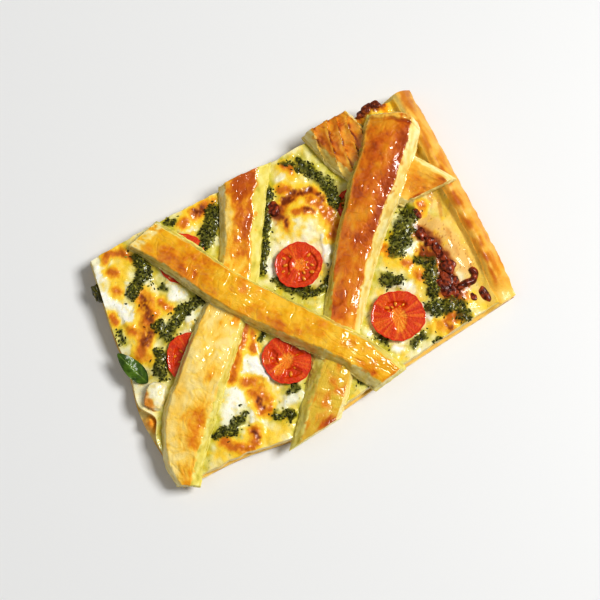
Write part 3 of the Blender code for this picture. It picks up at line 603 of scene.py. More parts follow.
def fill_top(x, y):
    high = FILL_TOP + FILL_SWELL * wobble(x, y, 17.0, 2) + 0.4 * wobble(x, y, 6.0, 3)
    high = high + 2.0 * np.exp(-((to_stroke(x, y, [row[:2] for row in STRIP_LONG]) / 13.0) ** 2))
    for mx, my, radius, up in MOUNDS:
        high = high + up * np.exp(-((np.hypot(x - mx, y - my) / radius) ** 2))
    high = high - 0.9 * np.exp(-(((from_rim(x, y) - 15.0) / 3.0) ** 2))
    paste = np.zeros(np.shape(x))
    for width, points in PASTE:
        paste = np.maximum(paste, 1.0 - smooth(to_stroke(x, y, points) / (0.75 * width)))
    high = high + PASTE_HIGH * paste * (1.0 + 0.5 * wobble(x, y, 3.5, 4))
    return np.maximum(high, base_top(x, y) + 0.9)


s, t, h, faces = brick(
    *[spread([(0.0, 0), (1.0, count)]) for count in (300, 200, 14)],
    plain_under=True,
)
x, y = in_slice(s, t).T
tip_room = np.exp(-(((on_edge("left", t)[:, 1] - TIP_AT[1]) / 6.5) ** 2))
left_x, right_x = on_edge("left", t)[:, 0], on_edge("rim", t)[:, 0]
inner_left = left_x + FILL_INSET + 5.5 * tip_room
inner_right = right_x - FILL_FROM_RIM + 1.2 * wobble(0.0, y, 12.0, 5)
x = inner_left + s * (inner_right - inner_left) + (x - left_x * (1 - s) - right_x * s)
y = y - FILL_INSET * (2 * t - 1) - 0.5 * wobble(x, 0.0, 5.0, 6) * ((t == 1.0) * 1.0 - (t == 0.0))

warp_x = x + 2.4 * wobble(x, y, 5.0, 91) + 1.1 * wobble(x, y, 1.9, 92)
warp_y = y + 2.4 * wobble(x, y, 5.0, 93) + 1.1 * wobble(x, y, 1.9, 94)
speckle = wobble(x, y, 1.1, 95)
blotch = wobble(x, y, 5.0, 96) + 0.5 * wobble(x, y, 2.2, 97)
fresh = strokes(warp_x, warp_y, FRESH)
buttery = strokes(warp_x, warp_y, BUTTERY, 0.6)
toasted = strokes(0.5 * (x + warp_x), 0.5 * (y + warp_y), widened(TOASTED, 1.3, 1.8), 0.95)
burnt = strokes(warp_x, warp_y, widened(BURNT, 1.0, 1.3), 0.7)
pasty = strokes(warp_x, warp_y, PASTE, 0.25)
dabs = strokes(warp_x, warp_y, DABS, 0.4)
herbs = np.maximum(pasty, dabs)
near_herbs = strokes(x, y, widened(PASTE + DABS, 1.0, 5.0), 0.5)
beside = beside_strips(x, y)
dome = 1.0 - smooth((to_stroke(x, y, DOME_LINE) - 3.0) / 4.0)
valley = smooth((17.0 - from_rim(x, y)) / 4.0) * (1.0 - smooth((13.0 - from_rim(x, y)) / 2.5))
oily = np.clip(np.exp(-((beside / 2.6) ** 2)) * (0.75 + 0.6 * blotch) + 0.35 * near_herbs, 0.0, 1.0)
calm = 1.0 - np.maximum(dome, 0.6 * valley)

lid = fill_top(x, y)
lumpy = 0.4 * wobble(x, y, 3.6, 112) + 0.25 * wobble(x, y, 2.0, 98)
lid = lid + calm * (0.8 * fresh * smooth(1.2 - buttery) + lumpy + 0.08 * speckle)
charred = np.exp(-((np.hypot(x - 75.5, y - 59.0) / 8.0) ** 2))
lid = lid + 1.4 * charred * np.abs(wobble(x, y, 2.4, 113))
lid = lid + 0.35 * toasted * (1.0 + 1.2 * wobble(x, y, 2.0, 99)) - 0.25 * burnt
lid = lid - 0.5 * oily * (1.0 - pasty) + 0.3 * herbs * (0.6 + wobble(x, y, 1.3, 100))
lid = lid + 0.35 * valley * np.abs(wobble(x, y, 2.6, 101))
floor = BASE_T - 0.3
z = floor + h * (lid - floor)
wall = ((h > 0) & (h < 1)).astype(float)
crags = 0.6 * np.sin(np.pi * h) + 0.5 * wobble(x, y, 5.0, 13, z) + 0.25 * wobble(x, y, 1.6, 102, z)
x = x + wall * crags * ((s == 1.0) * 1.0 - (s == 0.0))
y = y + wall * crags * ((t == 1.0) * 1.0 - (t == 0.0))

by_rim = smooth((22.0 - from_rim(x, y)) / 5.0) * smooth((y + 60.0) / 12.0)
olive_end = smooth((y + 14.0) / 16.0)
folds = smooth(3.0 * wobble(x * 0.9 - y * 0.4, (y + 0.4 * x) / 4.0, 3.4, 118) - 0.3) * by_rim
# A band along the border's inner side, painted lighter to offset the shadow the border casts on the filling
lit_band_by_border = smooth((15.5 - from_rim(x, y)) / 2.5) * (1.0 - 0.6 * olive_end)
heat = toasted + 0.3 * blotch + 0.16 * speckle
freckles = smooth((wobble(x, y, 0.9, 103) - 0.42) / 0.1) * dome
chives = smooth((wobble(x, y, 1.3, 104) - 0.55) / 0.08) * calm * (1.0 - toasted)
onion_stain = strokes(warp_x, warp_y, ONION_JUICE, 0.8)
colours = paint(
    np.full((len(x), 3), (252.0, 244.0, 204.0)),
    # Custard, butter yellow, fresh cheese and green oil
    ((250, 222, 120), 0.35 + blotch),
    ((255, 206, 44), buttery * (0.8 + 0.5 * blotch)),
    ((255, 254, 244), fresh * (0.95 + 0.3 * blotch) * (1.0 - 0.3 * buttery)),
    ((204, 194, 50), oily * (1.0 - 0.6 * fresh) * 0.9),
    ((158, 156, 34), near_herbs * (1.0 - 0.7 * fresh) * smooth(0.3 + blotch) * 0.7),
    # The smooth stretch, the hollow beside the border, and a band of painted light where the border's shadow
    # falls on the filling
    ((238, 204, 104), by_rim * 0.8),
    ((238, 190, 106), dome * 0.95),
    ((232, 186, 70), valley * (1.0 - olive_end) * 0.8),
    ((206, 168, 36), valley * olive_end * (0.8 + 0.4 * blotch) * (1.0 - 0.6 * dome)),
    ((196, 122, 40), folds * 0.5),
    ((255, 212, 100), lit_band_by_border * 0.85),
    # Browning by rising heat, then burnt spots
    ((255, 208, 50), smooth((heat - 0.04) / 0.3) * 0.9),
    ((240, 158, 24), smooth((heat - 0.46) / 0.26) * 0.85),
    ((204, 106, 10), smooth((heat - 0.76) / 0.24) * 0.85),
    ((150, 62, 6), smooth((heat - 1.12) / 0.2) * 0.85),
    ((112, 44, 6), burnt * smooth(0.7 + 0.9 * speckle + 0.5 * blotch) * 0.9),
    # Freckles, chives, onion juice, the ground under the paste and the cut sides
    ((168, 100, 30), freckles * 0.7),
    ((112, 122, 30), chives * 0.5),
    ((196, 104, 20), smooth(onion_stain * 1.4) * 0.7),
    ((122, 48, 8), smooth(onion_stain * 1.6 - 0.6 + 0.5 * speckle) * 0.8),
    ((74, 76, 8), herbs * (0.8 + 0.5 * speckle)),
    ((250, 228, 140), wall * 0.75),
    ((226, 182, 70), wall * smooth(0.2 + 1.2 * crags) * 0.5),
)
gloss =0.42 + 0.1 * fresh - 0.1 * oily - 0.1 * toasted + 0.1 * dome

custard = Finish(
    "baked_cheese",
    {"Specular IOR Level": 0.25, "Coat Weight": 0.4, "Coat Roughness": 0.08, "Subsurface Weight": 0.08,
     "Subsurface Scale": 0.0015, "Subsurface Radius": (1.0, 0.7, 0.35)},
)
fine, coarse = custard.grain(1900.0, 3.0), custard.grain(520.0, 2.0)
custard.dress(
    custard.shaded(custard.kept("colour", "Color"), fine, 0.82, 1.16),
    custard.kept("gloss", "Fac") + (coarse - 0.5) * 0.2,
    fine * 0.5 + coarse * 0.5,
    0.00035,
)
filling = make_piece("baked_cheese_filling", np.stack([x, y, z], 1), faces, colours, gloss, custard)
clumps = smooth(0.62 + 0.9 * wobble(x, y, 2.6, 110) + 0.5 * wobble(x, y, 1.2, 111))
herb_cover = np.clip(herbs * (0.12 + clumps) + 0.05 * near_herbs * clumps, 0.0, 1.0)
herb_cover = herb_cover * (h == 1.0) * (beside > -1.0)
cover = filling.data.attributes.new("herbs", "FLOAT", "POINT")
cover.data.foreach_set("value", herb_cover.astype(np.float32))
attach(filling, "root")
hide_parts("cheese_filling")


# Herb paste
# Chopped basil and nuts in oil, spooned on before baking. The flakes are about
# a millimetre across, nearly black where they scorched, and lie in the filling
# wherever the paste was put.
FLAKE_R, FLAKES_TO_SQUARE_METRE = 0.00062, 1.25e6
herb = Finish("chopped_herb_paste", {"Specular IOR Level": 0.15, "Coat Weight": 0.22, "Coat Roughness": 0.1})
shade = herb.kept("shade", "Fac")
leafy = herb.mix(shade, (0.012, 0.013, 0.001, 1), (0.1, 0.1, 0.005, 1))
nutty = herb.add("ShaderNodeClamp", {}, {"Value": (shade - 0.86) * 8.0})
mixed = herb.mix(nutty, leafy, (0.5, 0.45, 0.06, 1))
speck = herb.grain(3200.0, 2.0)
herb.dress(herb.shaded(mixed, speck, 0.6, 1.5), 0.34, speck, 0.0002)


class Tree:
    """A Geometry Nodes tree with named inputs, built node by node."""

    def __init__(self, name, inputs):
        self.group = bpy.data.node_groups.new(name, "GeometryNodeTree")
        shape = "NodeSocketGeometry"
        for label, kind in [("Geometry", shape), *inputs]:
            self.group.interface.new_socket(label, in_out="INPUT", socket_type=kind)
        self.group.interface.new_socket("Geometry", in_out="OUTPUT", socket_type=shape)
        self.start = self.group.nodes.new("NodeGroupInput")
        self.end = self.group.nodes.new("NodeGroupOutput")

    def add(self, kind, settings, sockets, out=0):
        node = self.group.nodes.new(kind)
        for name, value in settings.items():
            setattr(node, name, value)
        for name, value in sockets.items():
            if isinstance(value, bpy.types.NodeSocket):
                self.group.links.new(value, node.inputs[name])
            else:
                node.inputs[name].default_value = value
        return node.outputs[out]

    def finish(self, geometry, finish):
        real = self.add("GeometryNodeRealizeInstances", {}, {"Geometry": geometry})
        skinned = self.add("GeometryNodeSetMaterial", {}, {"Geometry": real, "Material": finish.material})
        self.group.links.new(skinned, self.end.inputs[0])

    def grow(self, name, mesh, values):
        """Runs the tree on a mesh with these input values, and keeps the result as a plain mesh object."""
        source = bpy.data.objects.new(name, mesh)
        bpy.context.scene.collection.objects.link(source)
        modifier = source.modifiers.new(name, "NODES")
        modifier.node_group = self.group
        for item in self.group.interface.items_tree:
            if item.in_out == "INPUT" and item.name in values:
                modifier[item.identifier] = values[item.name]
        source.update_tag()
        graph = bpy.context.evaluated_depsgraph_get()
        made = bpy.data.meshes.new_from_object(source.evaluated_get(graph))
        source.modifiers.clear()
        source.data = made
        made.shade_smooth()
        return source


chop = Tree("chopped_herbs", [
    ("Flakes to a square metre", "NodeSocketFloat"),
    ("Flake", "NodeSocketFloat"),
    ("Seed", "NodeSocketInt"),
])
ground, flakes_wanted, flake_size, flake_seed = list(chop.start.outputs)[:4]
cover = chop.add("GeometryNodeInputNamedAttribute", {"data_type": "FLOAT"}, {"Name": "herbs"})
dense = chop.add("ShaderNodeMath", {"operation": "MULTIPLY"}, {0: cover, 1: flakes_wanted})
seats = chop.add(
    "GeometryNodeDistributePointsOnFaces", {},
    {"Mesh": ground, "Density": dense, "Seed": flake_seed}, "Points",
)
ball = chop.add("GeometryNodeMeshIcoSphere", {}, {"Radius": 1.0, "Subdivisions": 2})
lumpy = chop.add("ShaderNodeTexNoise", {}, {"Scale": 1.4, "Detail": 1.0}, "Color")
lumpy = chop.add("ShaderNodeVectorMath", {"operation": "SUBTRACT"}, {0: lumpy, 1: (0.5, 0.5, 0.5)})
lumpy = chop.add("ShaderNodeVectorMath", {"operation": "SCALE"}, {0: lumpy, "Scale": 1.3})
flake = chop.add("GeometryNodeSetPosition", {}, {"Geometry": ball, "Offset": lumpy})
three_ways = {"data_type": "FLOAT_VECTOR"}
spin, big = (
    chop.add("FunctionNodeRandomValue", three_ways, {"Min": least, "Max": most, "Seed": seed})
    for least, most, seed in (
        ((-0.7, -0.7, 0.0), (0.7, 0.7, 6.28), 3),
        ((0.6, 0.45, 0.3), (1.5, 0.9, 0.6), 4),
    )
)
big = chop.add("ShaderNodeVectorMath", {"operation": "SCALE"}, {0: big, "Scale": flake_size})
laid = chop.add(
    "GeometryNodeInstanceOnPoints", {}, {"Points": seats, "Instance": flake, "Rotation": spin, "Scale": big}
)
tone = chop.add("FunctionNodeRandomValue", {"data_type": "FLOAT"}, {2: 0.0, 3: 1.0, "Seed": 5}, 1)
toned = chop.add(
    "GeometryNodeStoreNamedAttribute", {"data_type": "FLOAT", "domain": "INSTANCE"},
    {"Geometry": laid, "Name": "shade", "Value": tone},
)
chop.finish(toned, herb)
herb_paste = chop.grow(
    "herb_paste_flakes", filling.data.copy(),
    {"Flakes to a square metre": FLAKES_TO_SQUARE_METRE, "Flake": FLAKE_R, "Seed": 7},
)
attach(herb_paste, "root")


# Browned onion
# Shreds and beads of onion from the pan, fried until they turned dark red and
# shiny, set in the filling beside the border. Three burnt crumbs lie at the
# far cut.
BEAD_SWELL = 1.15
# Place and radius of each bead, before it swells
ONION_BEADS = (
    (65.3, -9.6, 2.4),
    (66.6, -12.2, 1.5),
    (67.3, -14.4, 2.0),
    (68.4, -17.0, 1.4),
    (68.2, -19.6, 1.9),
    (67.6, -22.4, 1.3),
    (68.4, -24.8, 1.8),
    (69.0, -29.8, 2.7),
    (66.2, -33.0, 1.8),
    (64.6, -35.6, 3.2),
    (67.4, -37.0, 2.0),
    (61.8, -38.6, 3.0),
    (65.0, -40.6, 2.4),
    (61.0, -34.0, 1.8),
    (78.2, -49.2, 2.6),
    (72.2, -48.6, 1.6),
    (7.1, 37.8, 3.2),
    (68.5, 1.0, 1.7),
    (70.0, 58.6, 2.0),
    (73.4, 59.2, 2.3),
    (77.4, 58.8, 2.0),
)
ONION_CURL = ((77.4, -35.6), (78.4, -39.0), (75.6, -41.6), (71.0, -41.2), (66.6, -41.9))
ONION_CURL_R, CURL_STEPS, CURL_SIDES = 1.7, 40, 16
onion_skin = Finish("fried_onion", {"Specular IOR Level": 0.2, "Coat Weight": 0.3, "Coat Roughness": 0.15})
wrinkle = onion_skin.grain(900.0, 4.0)
onion_skin.dress(
    onion_skin.shaded(onion_skin.kept("colour", "Color"), wrinkle, 0.6, 1.5), 0.24, wrinkle, 0.0008
)


def lumps(points, size, seed):
    """Noise from -1 to 1 with features of this size, at points in space."""
    x, y, z = points.T
    return wobble(x, y, size, seed, z)


s, t, h, ball_faces = brick(*[np.linspace(-1.0, 1.0, 17)] * 3)
ball = np.tan(np.stack([s, t, h], 1) * 0.7) / math.tan(0.7)
ball /= np.linalg.norm(ball, axis=1)[:, None]
shreds, shred_faces = [], []
for number, (bx, by, radius) in enumerate(ONION_BEADS):
    radius = BEAD_SWELL * radius
    swell = 1.0 + 0.5 * lumps(ball, 1.1, number) + 0.06 * lumps(ball, 0.35, number)
    z = float(fill_top(np.array(bx), np.array(by)))
    shred_faces += [[len(ball) * len(shreds) + index for index in face] for face in ball_faces]
    long = 0.8 if by > 50.0 else 1.15 + 0.25 * math.sin(2.3 * number)
    half_sizes = (1.1 * radius / long, 1.1 * radius * long, 0.5 * radius)
    shreds.append(ball * swell[:, None] * half_sizes + (bx, by, z))
line = along(ONION_CURL, CURL_STEPS)
ahead = np.gradient(line, axis=0)
ahead /= np.linalg.norm(ahead, axis=1)[:, None]
rings = np.linspace(0.0, 2 * np.pi, CURL_SIDES + 1)[:-1]
thick = ONION_CURL_R * (0.8 + 0.35 * np.sin(np.pi * np.linspace(0.06, 0.97, CURL_STEPS)))
thick = thick * (1.0 + 0.25 * wobble(*line.T, 2.5, 8))
thick[0] = thick[-1] = 0.2
centre = np.column_stack([line, fill_top(*line.T) + 0.35 * thick])
rise = np.broadcast_to(np.sin(rings), (CURL_STEPS, CURL_SIDES))
around = np.stack([-ahead[:, 1:] * np.cos(rings), ahead[:, :1] * np.cos(rings), rise], axis=-1)
curl = centre[:, None, :] + thick[:, None, None] * around
count = sum(map(len, shreds))
turn = np.arange(CURL_SIDES)
onward = (turn + 1) % CURL_SIDES
for low in count + CURL_SIDES * np.arange(CURL_STEPS - 1):
    high = low + CURL_SIDES
    shred_faces += np.stack([low + turn, low + onward, high + onward, high + turn], 1).tolist()
shred_faces += [(count + turn[::-1]).tolist(), (count + CURL_SIDES * (CURL_STEPS - 1) + turn).tolist()]
points = np.vstack(shreds + [curl.reshape(-1, 3)])
patch = lumps(points, 1.6, 9)
at_far_cut = smooth((points[:, 1] - 50.0) / 3.0)
colours = paint(
    np.full(points.shape, (104.0, 36.0, 14.0)),
    ((164, 70, 30), smooth(0.3 + 1.4 * patch)),
    ((56, 18, 8), smooth(-0.1 - 1.6 * patch)),
    ((104, 44, 12), at_far_cut * 0.6),
    ((206, 126, 40), at_far_cut * smooth(1.5 * patch) * 0.7),
)
browned_onion = make_piece("browned_onion", points, shred_faces, colours, 0.24, onion_skin, 80.0)
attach(browned_onion, "root")


# Tomato halves
# Cherry tomatoes cut across and roasted cut side up. Each has a thin skin, a
# ring of flesh, one to three pockets of gel with seeds and a pale core. The
# cut face shrank a little, so the skin stands up around it.
THREE_POCKETS = ((0.4, 0.62, 0.3, 0.78, 3), (2.5, 0.6, 0.34, 0.76, 3), (4.5, 0.66, 0.3, 0.78, 3))
# Place, radius, height of the face, depth, then each pocket: angle, half its spread, from, to, seeds
TOMATOES = (
    (4.2, 6.9, 11.6, 16.2, 8.2, ((2.6, 0.95, 0.4, 0.82, 5), (-0.9, 1.4, 0.22, 0.8, 8))),
    (34.2, -39.2, 12.9, 16.4, 9.0, ((1.3, 1.1, 0.26, 0.6, 7),)),
    (-23.9, -31.3, 12.0, 15.6, 8.0, THREE_POCKETS),
    (-64.2, -7.2, 12.3, 14.6, 7.6, THREE_POCKETS),
    (-44.4, 38.8, 12.2, 14.6, 7.6, THREE_POCKETS),
    (44.0, 20.6, 9.0, 13.4, 7.2, THREE_POCKETS),
)
flesh = Finish("roasted_tomato", {"Specular IOR Level": 0.2, "Coat Weight": 0.6, "Coat Roughness": 0.05})
pulp = flesh.grain(1100.0, 3.0)
flesh.dress(
    flesh.shaded(flesh.kept("colour", "Color"), pulp, 0.66, 1.36), flesh.kept("gloss", "Fac"), pulp, 0.0006
)
RINGS, UNDER_RINGS, TURNS = 44, 18, 96
seats, seed_turns = [], []
for number, (tx, ty, radius, face_z, depth, pockets) in enumerate(TOMATOES, 1):
    seed = number * 1.3
    around = np.linspace(0.0, 2 * np.pi, TURNS + 1)[:-1]
    slope = np.linspace(0.12, 0.5 * np.pi, UNDER_RINGS)[:-1]
    ring = np.concatenate([np.linspace(0.03, 1.0, RINGS), np.cos(slope)])
    level = np.concatenate([np.ones(RINGS), -np.sin(slope)])
    r, a = np.meshgrid(ring, around, indexing="ij")
    face = (level > 0)[:, None] * np.ones(TURNS)
    edge = 1.0 + 0.035 * np.sin(2 * a + seed) + 0.02 * np.sin(5 * a + 2 * seed)
    edge = edge + 0.012 * np.sin(17 * a + seed)
    px, py = r * np.cos(a), r * np.sin(a)
    bent = 0.2 * wobble(px, py, 0.5, number)
    pocket = np.zeros(r.shape)
    for middle, spread_by, inner, outer, _ in pockets:
        away = np.abs((a - middle + np.pi) % (2 * np.pi) - np.pi)
        inside = smooth((spread_by + bent - away) / 0.3) * smooth((r + 0.5 * bent - inner) / 0.1)
        pocket = np.maximum(pocket, inside * smooth((outer + 0.5 * bent - r) / 0.1) * face)
    core_turn = a - pockets[0][0]
    core_at = np.hypot(r * np.sin(core_turn), (r * np.cos(core_turn) + 0.22) * 0.55)
    core = (1.0 - smooth((core_at - 0.2 + 0.5 * bent) / 0.12)) * face * (1.0 - pocket)
    skin = smooth((r - 0.93) / 0.03)
    high = -0.9 * pocket - 0.35 * core + 0.25 * skin * face + 0.18 * wobble(px, py, 0.22, number + 10) * face
    high = high + 0.5 * face * np.sin(np.pi * np.minimum(r, 1.0)) * (1 - pocket)
    bowl = depth * level[:, None] * (1.0 + 0.05 * np.sin(6 * a + seed) + 0.03 * np.sin(13 * a))
    z = face_z + np.where(face > 0, high, bowl)
    points = np.stack([tx + radius * edge * r * np.cos(a), ty + radius * edge * r * np.sin(a), z], -1)
    points = np.vstack([points.reshape(-1, 3), (tx, ty, z[0].mean()), (tx, ty, z[-1].min() - 0.05)])
    count = len(ring)
    grid = np.arange(count * TURNS).reshape(count, TURNS)
    grid = np.concatenate([grid, grid[:, :1]], axis=1)
    quads = np.stack([grid[:-1, :-1], grid[1:, :-1], grid[1:, 1:], grid[:-1, 1:]], -1).reshape(-1, 4).tolist()
    caps = [[count * TURNS, int(grid[0, i]), int(grid[0, i + 1])] for i in range(TURNS)]
    caps += [[count * TURNS + 1, int(grid[-1, i + 1]), int(grid[-1, i])] for i in range(TURNS)]
    rays = wobble(np.cos(a) * 3.0, np.sin(a) * 3.0, 0.35, number, r * 0.3) * face
    # Flesh, gel, core, then the skin's edge and its underside
    tint = paint(
        np.full((*r.shape, 3), (206.0, 44.0, 2.0)),
        ((226, 84, 10), face * (1 - skin) * (0.6 + 0.9 * rays)),
        ((240, 124, 26), face * (1 - skin) * smooth(-0.2 + 2.6 * rays) * 0.6),
        ((206, 62, 2), pocket * (0.75 + 0.5 * rays)),
        ((240, 124, 16), core * 0.9),
        ((252, 178, 60), core * smooth(0.3 + 2 * rays) * 0.8),
        ((222, 60, 6), skin * face * 0.9),
        ((168, 26, 2), (1 - face) * smooth(0.5 + rays)),
    )
    tint = np.vstack([tint.reshape(-1, 3), (240, 136, 30), (160, 30, 2)])
    wet = np.append((0.4 - 0.12 * pocket).ravel(), (0.3, 0.3))
    half = make_piece(f"tomato_half_{number}", points, quads + caps, tint, wet, flesh, 70.0)
    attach(half, "root")
    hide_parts(f"tomato_{number}")
    for place, (middle, spread_by, inner, outer, seeds) in enumerate(pockets):
        for k, share in enumerate(np.linspace(-0.85, 0.85, seeds)):
            shake = noise.noise((k * 1.7, place * 3.3, number * 2.9))
            angle = middle + (share + 0.15 * shake) * spread_by
            spot = (inner + (0.68 if k % 2 else 0.32) * (outer - inner) + 0.08 * shake) * radius
            sunk = face_z - 0.45 + 0.3 * shake
            seats.append((tx + spot * math.cos(angle), ty + spot * math.sin(angle), sunk))
            seed_turns.append(angle + 0.9 * shake)

# Tomato seeds: flat ovals about 2 mm long, set in the gel and pointing to the core
SEED_LENGTH = 0.0025
seed_skin = Finish("tomato_seeds", {"Specular IOR Level": 0.2, "Coat Weight": 0.6, "Coat Roughness": 0.06})
fuzz = seed_skin.grain(900.0, 3.0)
gold = seed_skin.mix(fuzz, (0.6, 0.11, 0.0, 1), (0.95, 0.4, 0.02, 1))
seed_skin.dress(gold, 0.25, fuzz, 0.0002)
seat_mesh = bpy.data.meshes.new("seed_seats")
seat_mesh.from_pydata(((np.array(seats) - (*PLAN_MIDDLE, 0.0)) * MM).tolist(), [], [])
turns = seat_mesh.attributes.new("turned", "FLOAT", "POINT")
turns.data.foreach_set("value", seed_turns)
sow = Tree("tomato_seeds", [("Length", "NodeSocketFloat")])
oval = sow.add("GeometryNodeMeshUVSphere", {}, {"Segments": 12, "Rings": 8, "Radius": 0.5})
pip = sow.add("GeometryNodeTransform", {}, {"Geometry": oval, "Scale": (1.0, 0.62, 0.4)})
turned = sow.add("GeometryNodeInputNamedAttribute", {"data_type": "FLOAT"}, {"Name": "turned"})
facing = sow.add("ShaderNodeCombineXYZ", {}, {"Z": turned})
uneven = sow.add("FunctionNodeRandomValue", {"data_type": "FLOAT"}, {2: 0.75, 3: 1.15, "Seed": 2}, 1)
uneven = sow.add("ShaderNodeMath", {"operation": "MULTIPLY"}, {0: uneven, 1: sow.start.outputs[1]})
sown = sow.add(
    "GeometryNodeInstanceOnPoints", {},
    {"Points": sow.start.outputs[0], "Instance": pip, "Rotation": facing, "Scale": uneven},
)
sow.finish(sown, seed_skin)
tomato_seeds = sow.grow("tomato_seeds", seat_mesh, {"Length": SEED_LENGTH})
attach(tomato_seeds, "root")


# Pastry strips
# Four strips of puff pastry laid over the filling as a lattice and brushed
# with egg. The tops baked golden to dark amber with a hard shine, and the cut
# flanks stayed pale and opened into leaves.
glazed = Finish("egg_washed_pastry", {"Specular IOR Level": 0.2, "Coat Weight": 0.9, "Coat Roughness": 0.06})
fine, coarse = glazed.grain(2400.0, 3.0), glazed.grain(300.0, 3.0)
glazed.dress(
    glazed.shaded(glazed.kept("colour", "Color"), fine * 0.4 + coarse * 0.6, 0.76, 1.24),
    glazed.kept("gloss", "Fac") + (coarse - 0.5) * 0.12,
    fine * 0.12 + coarse * 0.88,
    0.0007,
)
# Half width of a strip by height, both as shares
FLANK = ((0.0, 0.16, 0.34, 0.52, 0.8, 1.0), (0.92, 1.0, 0.96, 0.985, 0.95, 0.885))
PATH_STEPS, LEAVES_IN_FLANK, RAY_FROM = 240, 4.5, 0.06


def surface_below(names):
    """The pieces that a strip lies on, ready to be asked for their height."""
    graph = bpy.context.evaluated_depsgraph_get()
    return [BVHTree.FromObject(bpy.data.objects[name], graph) for name in names]


def corner_share(t):
    """How far a rounded end draws back across the strip, most at high t."""
    return np.maximum(np.maximum(t * 1.1 - 0.2, -0.3 * t), 0.0) ** 2.2


